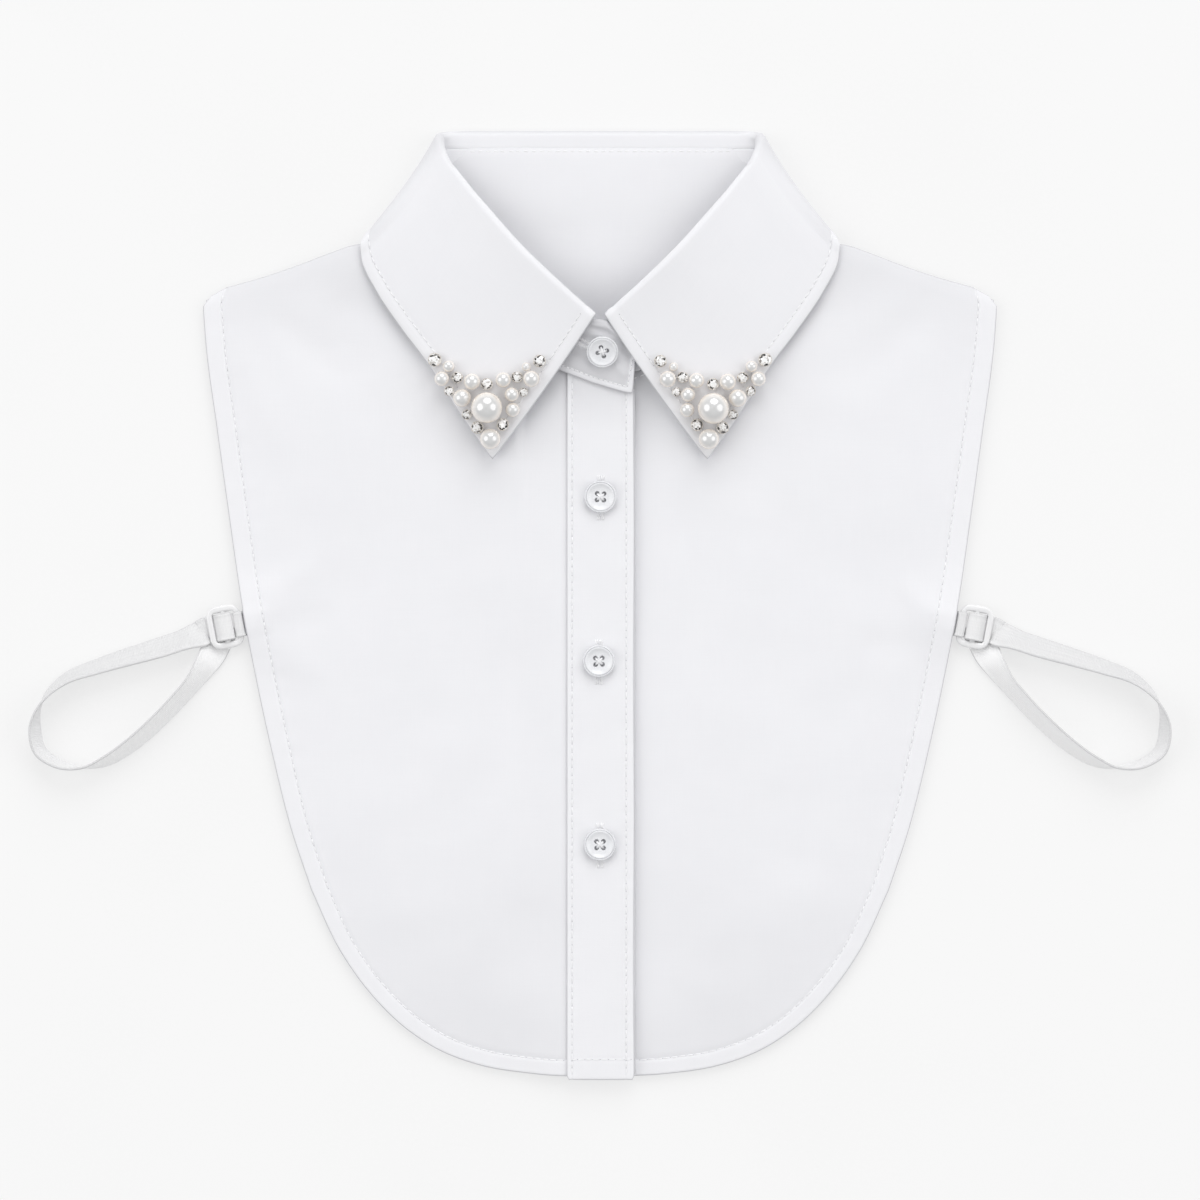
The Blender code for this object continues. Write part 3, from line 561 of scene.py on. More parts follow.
def paint(tree, shader, colour, tone, spread, roughness):
    """The base colour, and a roughness that follows the tone."""
    tree.links.new(colour, shader.inputs["Base Color"])
    rough = calculate(tree, "MULTIPLY_ADD", tone, spread, roughness)
    tree.links.new(rough, shader.inputs["Roughness"])


def relief(tree, shader, height, depth, strength=1.0):
    node = tree.nodes.new("ShaderNodeBump")
    node.inputs["Distance"].default_value = depth
    node.inputs["Strength"].default_value = strength
    tree.links.new(height, node.inputs["Height"])
    tree.links.new(node.outputs["Normal"], shader.inputs["Normal"])


print("finishes so far:", len(bpy.data.materials))

# %% Cotton finish
SINGLE_DARK = (0.775, 0.776, 0.802)
SINGLE_LIGHT = (0.812, 0.812, 0.835)
DOUBLE_WHITE = (0.875, 0.875, 0.888)
# painted shade: the grey that rims, folds, the closure and the shoulders are painted towards
PAINTED_SHADE_GREY = (0.56, 0.56, 0.58)


def cotton_finish():
    finish, tree, shader = new_finish("white_cotton")
    weave = use_group(tree, POPLIN, flat_cloth(tree))
    colour = between(tree, weave.outputs["Tone"], SINGLE_DARK, SINGLE_LIGHT)
    doubled_and_painted_light = read_doubled_and_painted_light(tree)
    whiter = calculate(tree, "MULTIPLY", doubled_and_painted_light, 0.15, clamp=True)
    colour = shifted(tree, colour, whiter, DOUBLE_WHITE)
    # painted shade: below 0 the attribute greys the cloth towards PAINTED_SHADE_GREY
    painted_shade_share = calculate(tree, "MULTIPLY", doubled_and_painted_light, -0.8, clamp=True)
    colour = shifted(tree, colour, painted_shade_share, PAINTED_SHADE_GREY)
    paint(tree, shader, colour, weave.outputs["Tone"], 0.16, 0.76)
    shader.inputs["Specular IOR Level"].default_value = 0.25
    shader.inputs["Sheen Weight"].default_value = 0.12
    shader.inputs["Sheen Roughness"].default_value = 0.5
    relief(tree, shader, weave.outputs["Height"], 0.00004, 0.35)
    return finish


COTTON = cotton_finish()
print("cotton ready")

# %% [markdown]
# ## The back panel
#
# Only the inside of its neck shows, but the piece is whole, because the collar is also seen from
# below. Its form is a patch stretched between four border lines: shoulders and neck, two sides,
# the hem. Such a Coons patch gives an even grid that keeps to the outline. Inside the neck the
# cloth runs on, thinner, over the back of the stand up to the seam below the collar's crest, so
# that the neck's inside is one smooth surface.


# %% Patches between border lines
def patch_between(top, bottom, left, right):
    u = np.linspace(0, 1, len(top))[None, :, None]
    v = np.linspace(0, 1, len(left))[:, None, None]
    corners = (
        (1 - u) * (1 - v) * top[0]
        + u * (1 - v) * top[-1]
        + (1 - u) * v * bottom[0]
        + u * v * bottom[-1]
    )
    down = (1 - v) * top[None] + v * bottom[None]
    across = (1 - u) * left[:, None] + u * right[:, None]
    return down + across - corners


def inward_directions(line):
    """Directions to the left of a line as it runs down the garment's right side."""
    slope = unit(np.gradient(line, axis=0))
    return np.stack([slope[:, 1], -slope[:, 0]], axis=1)


def nearest_on_line(places, line):
    """For each place, the distance to a line and how far along it the nearest point lies."""
    runs = lengths_along(line)
    flat = places.reshape(-1, 2)
    distance = np.empty(len(flat))
    along = np.empty(len(flat))
    for start in range(0, len(flat), 4000):
        part = flat[start : start + 4000]
        gaps = np.linalg.norm(part[:, None] - line[None], axis=2)
        nearest = gaps.argmin(axis=1)
        distance[start : start + 4000] = gaps.min(axis=1)
        along[start : start + 4000] = runs[nearest]
    return distance.reshape(places.shape[:-1]), along.reshape(places.shape[:-1])


def seam_pucker(distance, along, seed, depth=0.12, reach=5.0):
    """Little tucks that a tight seam pulls into the cloth on both sides of it."""
    waves = swell(along, np.zeros_like(along), 7.0, seed, 7)
    return depth * waves * np.exp(-((distance / reach) ** 2))


print("inwards from the right side:", inward_directions(np.array([(1.0, 1.0), (1.0, 0.0)]))[0])

# %% Back panel
# half of the edge inside the neck, from the middle to the shoulder: x, y
INNER_NECK = (
    (0, 173.3), (20, 173.3), (40, 173.2), (51, 172.6), (56.5, 169.4), (61, 158), (67, 147),
    (74.6, 138.4),
)
NECK_STITCH = 172.1
# where the inside of the stand crests, and how far below that it reaches the neck seam
STAND_CREST = 177.9
STAND_FALL = 31.9


def beyond(x, y, corner, normal):
    """Distance past a slanted line through the corner, alike on both halves of the garment."""
    return normal[0] * (corner[0] - np.abs(x)) + normal[1] * (corner[1] - y)


def back_panel(across=120, down=84):
    half_edge = np.array(BODY_EDGE, float)
    half_edge = half_edge + inward_directions(half_edge) * (1.2 + CLOTH / 2)
    half_edge[-1, 0] = 0.0
    side_line = even_points(half_edge[:SIDE_ROWS], down + 1)
    hem_half = even_points(half_edge[SIDE_ROWS - 1 :], across // 2 + 1)
    shoulder = np.array(SHOULDER_EDGE, float)
    shoulder[:, 1] -= 0.5 + CLOTH / 2
    shoulder[-1] = side_line[0]
    neck = np.concatenate([INNER_NECK[:-1], shoulder[:1]])
    neck_count = across * 3 // 10
    half_top = np.concatenate(
        [even_points(neck, neck_count + 1), even_points(shoulder, across // 2 - neck_count + 1)[1:]]
    )
    mirror = np.array([-1.0, 1.0])
    top = np.concatenate([half_top[::-1] * mirror, half_top[1:]])
    bottom = np.concatenate([hem_half * mirror, hem_half[::-1][1:]])
    plan = patch_between(top, bottom, side_line * mirror, side_line)
    x, y = plan[..., 0], plan[..., 1]
    low = over_leaf(x, y)
    up_the_stand = np.clip((STAND_CREST - y) / STAND_FALL, 0.0, 1.2)
    inside = soft_step(y, 140, 147) * soft_fall(np.abs(x), 66.0, 74.0)
    high = (low + CLOTH) * (1 - inside) + (4.24 - up_the_stand**2) * inside
    waves = np.maximum(swell(x, y, 55, 40), 0.0)
    high = high + inside * (0.08 + 0.25 * waves) * soft_step(173.3 - y, 0, 9)
    low = low * (1 - inside) + (high - 0.4) * inside
    edge_line = even_points(np.concatenate([side_line, hem_half[1:]]), 700)
    away, along = nearest_on_line(np.stack([np.abs(x), y], axis=-1), edge_line)
    width = hem_width(y)
    stitch = -0.12 * bump_at(away, width, 0.8)
    tucks = seam_pucker(np.abs(away - width), along, 41, 0.06)
    wrong = np.stack([x, y, low + np.maximum(tucks - stitch, 0.0)], axis=-1)
    understitch = -0.07 * bump_at(y, NECK_STITCH, 0.6) * (np.abs(x) < 56.0)
    neck_tucks = seam_pucker(np.abs(NECK_STITCH - y), x, 42, 0.08, 2.5)
    right = np.stack([x, y, high + stitch + tucks + understitch + neck_tucks], axis=-1)
    doubled_and_painted_light = soft_fall(away, width - 0.4, width + 0.4)
    # painted shade beside the folded collar, on both sides of the neck
    from_fold = beyond(x, y, (57.0, 172.0), (0.774, -0.634)) + 4.0
    by_fold = np.exp(-np.maximum(from_fold, 0.0) / 10.0) * soft_step(y, 124, 138)
    doubled_and_painted_light = doubled_and_painted_light - 0.48 * by_fold * soft_fall(np.abs(x), 66.0, 74.0)
    return cloth_grid("cloth_back", right, wrong, plan * MM, COTTON, doubled_and_painted_light)


cloth_back = back_panel()
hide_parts("back_panel")
print("back panel points:", len(cloth_back.data.vertices))

# %% [markdown]
# ## The two fronts
#
# Each front is one layer of cloth whose side and lower edge are turned in twice and sewn down.
# From the right side a hem shows as a band that stands a little proud, with a row of stitches in
# a shallow groove at its inner edge and small tucks beside it. So the front is a patch for the
# open cloth and a ring of rows for the hem. Small functions give its waves, its lift towards the
# neck and the form of its hem, one cause each. The main creases are drawn in a table,
# since real ones sit where hands and seams put them.


# %% Neck edge of a front
def front_top_edge(on_top):
    seam = neck_seam(on_top)[::-1]
    outwards = inward_directions(seam[:, :2])
    if on_top:
        clear = np.where(seam[:, 0] < 20.0, -STAND_LAP, SEAM)
    else:
        clear = np.full(len(seam), SEAM)
    seam[:, :2] += outwards * clear[:, None]
    seam[0, 0] = -PLACKET_RIGHT + 0.2 if on_top else -UNDER_FRONT_REACH
    return seam


print("a front's neck edge starts at", front_top_edge(True)[0].round(1))

# %% Creases of the fronts
# x and y run outwards from the centre line: from x, y, to x, y, height, half width
LEFT_CREASES = (
    (128, 112, 88, 84, -0.75, 7), (141, 108, 118, 52, 0.45, 6), (96, 126, 92, 70, -0.5, 9),
    (60, 40, 118, -8, -0.45, 13), (108, 18, 132, -4, 0.6, 6), (100, -2, 130, -10, -0.5, 5),
    (104, -30, 128, -14, 0.45, 6), (30, -40, 96, -84, 0.4, 15), (20, 20, 44, -96, -0.35, 12),
    (46, -120, 84, -136, -0.4, 9), (22, -132, 40, -168, 0.3, 7),
)
RIGHT_CREASES = (
    (124, 116, 94, 78, -0.7, 8), (140, 104, 126, 44, -0.4, 6), (86, 122, 72, 58, 0.4, 10),
    (26, 74, 58, 34, -0.6, 9), (70, 24, 126, 2, -0.4, 12), (112, 10, 131, -7, 0.6, 5),
    (98, -18, 127, -12, -0.45, 6), (28, -24, 88, -70, 0.4, 15), (18, -60, 60, -128, -0.35, 13),
    (60, -108, 100, -118, 0.35, 8), (24, -140, 46, -166, -0.3, 7),
)
print("creases drawn:", len(LEFT_CREASES) + len(RIGHT_CREASES))


# %% Outline of a front
def front_lines(on_top, across, down):
    """Open patch of a front and the rows of its hem, all in plan."""
    neck = front_top_edge(on_top)
    shoulder = np.array(SHOULDER_EDGE, float)
    tip = shoulder[-1].copy()
    inner_x = neck[0, 0]
    edge = even_points(BODY_EDGE[:SIDE_ROWS], down + 1)
    hem = even_points([*BODY_EDGE[SIDE_ROWS - 1 : -1], (inner_x, BODY_EDGE[-1][1])], across + 1)
    outline = np.concatenate([edge, hem[1:]])
    inwards = inward_directions(outline)
    inwards[0] = unit(shoulder[-2] - tip)
    inwards[-1] = (0.0, 1.0)
    outline[0] = tip
    corner = bump_at(lengths_along(outline), 0.0, 3.0)[:, None]
    width = hem_width(outline[:, 1])
    inset = outline + inwards * width[:, None]
    outline = outline + inwards * (CLOTH / 2 + 1.3 * corner) - np.array([0.0, 1.5]) * corner
    neck_count = across * 4 // 7
    shoulder = np.concatenate([shoulder[:-1], [inset[0]]])
    neck_line = even_points(neck[:, :2], neck_count + 1)
    shoulder_line = even_points(shoulder, across - neck_count + 1)
    shoulder_line[0] = neck_line[-1]
    top = np.concatenate([neck_line, shoulder_line[1:]])
    bottom = inset[down:][::-1]
    inner_y = np.linspace(top[0, 1], bottom[0, 1], down + 1)
    left = np.stack([np.full(down + 1, inner_x), inner_y], axis=1)
    plan = patch_between(top, bottom, left, inset[: down + 1])
    return neck, plan, inset, outline, width


print("hem width at its ends:", front_lines(True, 98, 126)[-1][[0, -1]].round(1))


# %% Heights of a front
def tab_print(x, y):
    """The end of the elastic tab shows through the hem above it as a low step."""
    turn = math.radians(SLIDER_TURN)
    inwards = -(x - SLIDER_CENTRE[0]) * math.cos(turn) + (y - SLIDER_CENTRE[1]) * math.sin(turn)
    beside = (x - SLIDER_CENTRE[0]) * math.sin(turn) + (y - SLIDER_CENTRE[1]) * math.cos(turn)
    reach = soft_step(inwards, 2, 4) * soft_fall(inwards, 17.2, 18)
    return 0.3 * reach * soft_fall(np.abs(beside), TAB_WIDTH / 2 - 0.5, TAB_WIDTH / 2 + 0.3)


def neck_lift(plan, neck, low, on_top):
    """How far the cloth is raised towards its neck edge, where it is sewn to the stand."""
    x_top = plan[0, :, 0]
    wanted = np.interp(x_top, neck[:, 0], neck[:, 2]) - CLOTH / 2
    if on_top:
        wanted = np.where(x_top < 30.0, np.minimum(wanted, low + 0.35), wanted)
    else:
        wanted = wanted + 1.9 * soft_fall(x_top, 18, 40)
    column = np.arange(len(x_top)) * 14 / (len(x_top) - 1)
    rise = np.maximum(wanted - low, 0.0) * soft_fall(column, 6, 8)
    reach = np.linalg.norm(plan - plan[:1], axis=-1)
    run_out = 38.0 if on_top else 8.0 + 30.0 * soft_step(plan[:1, :, 0], 16, 42)
    return (rise[None] * np.exp(-((reach / run_out) ** 2))).ravel()


def front_waves(x, y, away, creases, seed):
    """Soft swells and drawn creases, quieter near the hem and none beside the band."""
    soft = 0.5 + 0.32 * swell(x, y, 74, seed + 1) + 0.09 * swell(x, y, 21, seed + 2)
    soft = soft * (0.35 + 0.65 * soft_step(away, 0, 26)) * soft_step(x, 4, 30)
    folds = crease_field(x, y, creases) * soft_step(x, 10, 26)
    return np.maximum(soft + folds, -0.25) + 0.12


def with_hem(high, hem_share, from_inset, away):
    """The right side's height with the hem's step, its stitch groove and the fold beside it."""
    band = HEM_RAISE * soft_step(hem_share, 0, 0.3)
    groove = -0.17 * bump_at(from_inset, 0.75, 0.55) * (hem_share > 0)
    fold_mark = 0.07 * bump_at(away, 0.9, 0.6) * (hem_share < 0)
    return high + band + groove + fold_mark


print("step over the tab's end:", round(float(tab_print(135.0, -9.7)), 2), "mm")


# %% Rows of a front
def front_rows(across, down, strips, size):
    """Quads of the patch and its hem strips, the border loop and the points just inside it."""
    numbers = np.arange((down + 1) * (across + 1)).reshape(down + 1, across + 1)
    rings = [np.concatenate([numbers[:, -1], numbers[-1, ::-1][1:]])]
    for k in range(strips):
        rings.append(numbers.size + k * size + np.arange(size))
    quads = [grid_quads(down + 1, across + 1)]
    for a, b in zip(rings, rings[1:]):
        quads.append(np.stack([a[:-1], a[1:], b[1:], b[:-1]], axis=1))
    border = [numbers[0], [r[0] for r in rings[1:]], rings[-1][1:], [r[-1] for r in rings[-2::-1]]]
    border = np.concatenate([*border, numbers[-2:0:-1, 0]])
    inner = [
        numbers[1, np.clip(np.arange(across + 1), 1, across - 1)],
        [r[1] for r in rings[1:]],
        rings[-2][1:],
        [r[-2] for r in rings[-2::-1]],
        numbers[-2:0:-1, 1],
    ]
    inner = np.concatenate(inner)
    inner[across + len(rings) - 1] = rings[-2][1]
    return np.concatenate(quads), border, inner


def front_tint(x, y, hem_share, on_top):
    """Whiter along the hem, with painted shade by the closure, towards the shoulders and near the
    lower hem.
    """
    # painted shade by the closure under the collar, deeper on the lower front
    closure = np.exp(-(((x - 14.0) / 10.0) ** 2) - ((y - 88.0) / 24.0) ** 2)
    doubled_and_painted_light = soft_step(hem_share, 0.02, 0.2) - (0.45 if on_top else 0.95) * closure
    # painted shade towards the shoulders and towards the lower hem, made uneven by a swell
    painted_shoulder_hem_shade = 0.26 * soft_step(y, 88, 136) + 0.2 * soft_fall(y, -150, -70)
    return doubled_and_painted_light - painted_shoulder_hem_shade * (1.0 + 0.5 * np.clip(swell(x, y, 48, 47), -1.0, 1.0))


print("quads in a small front:", len(front_rows(4, 5, 2, 10)[0]))


# %% Front panels
def front_panel(name, on_top, side, creases, seed, across=98, down=126):
    neck, plan, inset, outline, width = front_lines(on_top, across, down)
    shares = np.concatenate([np.linspace(0.0, 0.24, 7)[1:], np.linspace(0.24, 1.0, 8)[1:]])
    ring = np.concatenate([plan[:, -1], plan[-1, ::-1][1:]])
    strips = [ring + (outline - ring) * share for share in shares]
    everything = np.concatenate([plan.reshape(-1, 2), *strips])
    x, y = everything[:, 0], everything[:, 1]
    low = over_leaf(x, y) + LAYER + over_tab(x, y)
    if on_top:
        low = low + over_front(x)
    open_points = plan[..., 0].size
    lift = np.zeros(len(x))
    lift[:open_points] = neck_lift(plan, neck, low[: across + 1], on_top)
    # how far across the hem a point is, as a share and in millimetres, and -1 in the open cloth
    hem_share = np.full(len(x), -1.0)
    hem_share[open_points:] = np.repeat(shares, len(ring))
    from_inset = hem_share.copy()
    from_inset[open_points:] *= np.tile(width, len(shares))
    line = even_points(inset, 900)
    away, along = nearest_on_line(everything, line)
    edge_fade = 1.0 - 0.6 * soft_step(hem_share, 0.2, 1)
    low = low + lift + front_waves(x, y, away, creases, seed) * edge_fade
    tucks = seam_pucker(away, along, seed, 0.13, 4.5)
    high = with_hem(low + CLOTH, hem_share, from_inset, away) + tucks + tab_print(x, y)
    quads, border, inner = front_rows(across, down, len(shares), len(ring))
    flip = np.array([side, 1.0, 1.0])
    right = np.stack([x, y, high], axis=1) * flip
    wrong = np.stack([x, y, low], axis=1) * flip
    uv = everything * np.array([side, 1.0]) * MM
    doubled_and_painted_light = front_tint(x, y, hem_share, on_top)
    obj = cloth_piece(name, right, wrong, quads, border, inner, uv, COTTON, doubled_and_painted_light)
    return obj, line * np.array([side, 1.0])


cloth_right, right_hem_line = front_panel("cloth_front_right", False, 1.0, RIGHT_CREASES, 20)
cloth_left, left_hem_line = front_panel("cloth_front_left", True, -1.0, LEFT_CREASES, 30)
for piece, node in ((cloth_right, "front_right"), (cloth_left, "front_left")):
    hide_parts(node)
    print(node, "points:", len(piece.data.vertices))

# %% [markdown]
# ## The buttonhole band
#
# The band is a strip folded on both edges and sewn down the whole front. It lies on the upper
# front, so its heights are read from that front by dropping a ray at every point, then smoothed,
# as a stiffer strip would bridge small dips. Two grooves hold its stitches, the cloth between them
# is slightly full, and each button pulls it down a little.


# %% Surfaces read from above
ABOVE = 0.1


def surface_below(*objects):
    """A function that gives the height and slope of the highest of these objects at x, y."""
    trees = []
    for obj in objects:
        corners = [tuple(v.co) for v in obj.data.vertices]
        trees.append(BVHTree.FromPolygons(corners, [tuple(p.vertices) for p in obj.data.polygons]))

    def look(x, y):
        best = None
        for tree in trees:
            hit, normal, _, _ = tree.ray_cast(Vector((x * MM, y * MM, ABOVE)), Vector((0, 0, -1)))
            if hit is not None and (best is None or hit.z > best[0]):
                best = (hit.z, normal if normal.z > 0 else -normal)
        if best is None:
            return None
        return best[0] / MM, np.array(best[1])

    return look


front_below = surface_below(cloth_left)(0.0, 0.0)[0]
print("upper front at the middle:", round(float(front_below), 2), "mm")

# %% Buttonhole band
BUTTONS = ((0.2, 41.0), (-0.4, -21.3), (0.0, -90.8))
PLACKET_STITCHES = (-10.6, 9.9)
PLACKET_END = -180.0
# the short row of stitches across the band's lower end
PLACKET_ROW = -172.3


def smooth_along(values, reach):
    kernel = np.hanning(2 * reach + 3)[1:-1]
    kernel = kernel / kernel.sum()
    padded = np.pad(values, ((reach, reach), (0, 0)), mode="edge")
    return np.stack([np.convolve(padded[:, k], kernel, "valid") for k in range(values.shape[1])], 1)


def buttonhole_band(across=44, down=320):
    look = surface_below(cloth_left)
    seam = neck_seam(True)[::-1]
    share = np.linspace(0, 1, across + 1)
    columns = PLACKET_LEFT + 0.5 + (PLACKET_RIGHT - PLACKET_LEFT - 1.0) * share
    tops = np.interp(columns, np.sort(-seam[:, 0]), seam[np.argsort(-seam[:, 0]), 1]) + STAND_LAP
    v = np.linspace(0, 1, down + 1)[:, None]
    x = np.repeat(columns[None], down + 1, axis=0)
    y = tops[None] * (1 - v) + (PLACKET_END + 0.5) * v
    low = np.zeros_like(x)
    for row in range(down + 1):
        for column in range(across + 1):
            found = look(min(x[row, column], PLACKET_RIGHT - 0.9), max(y[row, column], -177.6))
            low[row, column] = found[0]
    low = smooth_along(low, 7) + 0.12
    corner = 1.5 * (1 - np.sqrt(1 - np.clip((PLACKET_END + 2.0 - y) / 2.2, 0, 0.98) ** 2))
    x = x - np.sign(x) * corner * soft_step(np.abs(x), 9.0, 12.0)
    thick = 1.0 + 0.18 * soft_step(x, PLACKET_STITCHES[0], -6) * soft_fall(x, 6, 9.9)
    for seam_x, seed in zip(PLACKET_STITCHES, (51, 52)):
        thick = thick - 0.22 * bump_at(x, seam_x, 0.42)
        thick = thick + seam_pucker(np.abs(x - seam_x), y, seed, 0.1, 2.2)
    thick = thick - 0.2 * bump_at(y, PLACKET_ROW, 0.45) * (np.abs(x) < 12.0)
    thick = thick + seam_pucker(np.abs(y - PLACKET_ROW), x, 53, 0.07, 2.0)
    for bx, by in BUTTONS:
        near = np.hypot(x - bx, (y - by) * 0.8)
        thick = thick - 0.3 * np.exp(-((near / 7.0) ** 2))
        ray = np.arctan2(y - by, x - bx)
        thick = thick + 0.1 * np.sin(5 * ray + by) * bump_at(near, 8, 2.6)
    thick = thick + 0.1 * swell(x, y, 26, 54) * soft_step(12.6 - np.abs(x), 0.0, 3.0)
    wave = 0.16 * np.sin(y / 17.0) * bump_at(x, PLACKET_RIGHT, 5)
    right = np.stack([x + wave * 0.6, y, low + thick + wave], axis=-1)
    wrong = np.stack([x + wave * 0.6, y, low], axis=-1)
    left_seam, right_seam = PLACKET_STITCHES
    outside = soft_step(left_seam - x, -0.4, 0.4) + soft_step(x - right_seam, -0.4, 0.4)
    # whiter where the band is folded double, more outside its stitches, and painted shade at its
    # top under the collar
    doubled_and_painted_light = 0.45 + 0.55 * np.minimum(outside, 1.0) - 0.8 * soft_step(y, 44, 84)
    uv = np.stack([x, y], axis=-1) * MM
    return cloth_grid("cloth_band", right, wrong, uv, COTTON, doubled_and_painted_light)


cloth_band = buttonhole_band()
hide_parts("placket")
print("band is", round(cloth_band.dimensions.x / MM, 1), "mm wide")

# %% [markdown]
# ## The collar: leaf and stand
#
# A shirt collar has two parts. The stand goes round the neck and carries the top button; the leaf
# is sewn to its upper edge, folds over and shows. Both hold a stiff interlining, which keeps the
# fold a round roll. Each slice becomes a path: up the outside from the leaf's edge, over the roll,
# down the inside to the neck. Many slices side by side make the surface. Laid flat, the back of
# the collar lies under the back panel and only the front half stands up from it.


# %% Collar slices
FOLD_RADIUS = 1.4
CLOSURE_STEP = 0.85
SECTION_STEPS = (8, 8, 7, 9, 9, 7, 8, 10, 10, 10, 12, 14)


def fine_sections(side):
    """Many slices between the marked ones, for the buttoned side (-1) or the lower one (+1)."""
    rows = []
    for fold, edge, neck, turned, start, step in COLLAR_SECTIONS:
        lift = -side * CLOSURE_STEP * step
        rows.append(
            [*fold[:2], fold[2] + lift, *edge[:2], edge[2] + lift / 2, *neck, turned, start]
        )
    if side > 0:
        rows[-1][6:9] = np.add(UNDER_NECK_FRONT, (0.0, 0.0, 2.6))
        rows[-2][8] -= 0.8
    where = [0.0]
    for row, steps in enumerate(SECTION_STEPS):
        where += [row + (k + 1) / steps for k in range(steps)]
    return curve_through(rows, where)


def bow(end, start, heading, share):
    """A point of the curve that leaves start along the heading and runs to end."""
    control = start + heading * np.linalg.norm(end - start) * 0.4
    control[2] = max(control[2], min(start[2], end[2]))
    return start * (1 - share) ** 2 + 2 * control * share * (1 - share) + end * share**2


def slice_paths(rows, leaf_steps=62, stand_steps=44):
    folds = rows[:, 0:3]
    headings = unit(np.gradient(folds, axis=0))
    headings[0] = (1.0, 0.0, 0.0)
    leaf_paths, stand_paths = [], []
    angles = np.radians(np.linspace(-90, 90, 11))[1:]
    for row, fold, heading in zip(rows, folds, headings):
        edge, neck, turned, start = row[3:6], row[6:9], row[9], row[10]
        down = unit(unit(edge - fold) + unit(neck - fold))
        inner = unit(-np.cross(heading, down))
        centre = fold + down * FOLD_RADIUS
        outer_start = centre - inner * FOLD_RADIUS
        inner_start = centre + inner * FOLD_RADIUS
        path = [bow(edge, outer_start, down, 1 - s) for s in np.linspace(0, 1, leaf_steps)]
        path += [
            centre - math.cos(a) * FOLD_RADIUS * down + math.sin(a) * FOLD_RADIUS * inner
            for a in angles
        ]
        length = np.linalg.norm(neck - inner_start)
        path += [bow(neck, inner_start, down, turned * s / length) for s in (0.25, 0.5, 0.75, 1.0)]
        leaf_paths.append(path)
        shares = np.linspace(start / length, 1.0 - 0.45 / length, stand_steps)
        stand_paths.append([bow(neck, inner_start, down, s) for s in shares])
    return np.array(leaf_paths), np.array(stand_paths)


def surface_normals(grid):
    return unit(np.cross(np.gradient(grid, axis=0), np.gradient(grid, axis=1)))


MIRROR = np.array([-1.0, 1.0, 1.0])
top_leaf, top_stand = slice_paths(fine_sections(-1))
under_leaf, under_stand = slice_paths(fine_sections(1))
leaf_grid = np.concatenate([top_leaf[::-1] * MIRROR, under_leaf[1:]])
stand_grid = np.concatenate([top_stand[::-1] * MIRROR, under_stand[1:]])
shared = surface_normals(np.concatenate([leaf_grid, stand_grid], axis=1))
leaf_normals = shared[:, : leaf_grid.shape[1]]
stand_normals = shared[:, leaf_grid.shape[1] :]
print("collar slices:", leaf_grid.shape[0], "leaf points a slice:", leaf_grid.shape[1])

# %% [markdown]
# ## The leaf's edges
#
# The leaf is sewn inside out and turned, so its edges are full and round, and a row of stitches
# 4.2 mm inside holds them flat. The stitches pull a groove; between groove and edge the layers
# puff up. Each point's distance to the free edges decides how thick the leaf is there. Outer and
# front edges meet in the collar's point, and taking the smaller of the two distances gives the
# grooves a sharp mitre there.


# %% Collar leaf
LEAF_STITCH = 4.2


def grid_distances(grid):
    """For each point of a grid, its length from the start of its row and from the first row."""
    step = np.linalg.norm(np.diff(grid, axis=1), axis=2)
    from_edge = np.concatenate([np.zeros((len(grid), 1)), np.cumsum(step, axis=1)], axis=1)
    step = np.linalg.norm(np.diff(grid, axis=0), axis=2)
    run = np.concatenate([np.zeros((1, grid.shape[1])), np.cumsum(step, axis=0)])
    return from_edge, run


def distance_to_end(grid, end_row):
    """Straight distance of every point to the polyline of an end row."""
    line = grid[end_row]
    flat = grid.reshape(-1, 3)
    best = np.full(len(flat), 1e9)
    for a, b in zip(line[:-1], line[1:]):
        run = b - a
        share = np.clip(((flat - a) @ run) / (run @ run), 0, 1)
        best = np.minimum(best, np.linalg.norm(flat - a - share[:, None] * run, axis=1))
    return best.reshape(grid.shape[:2])


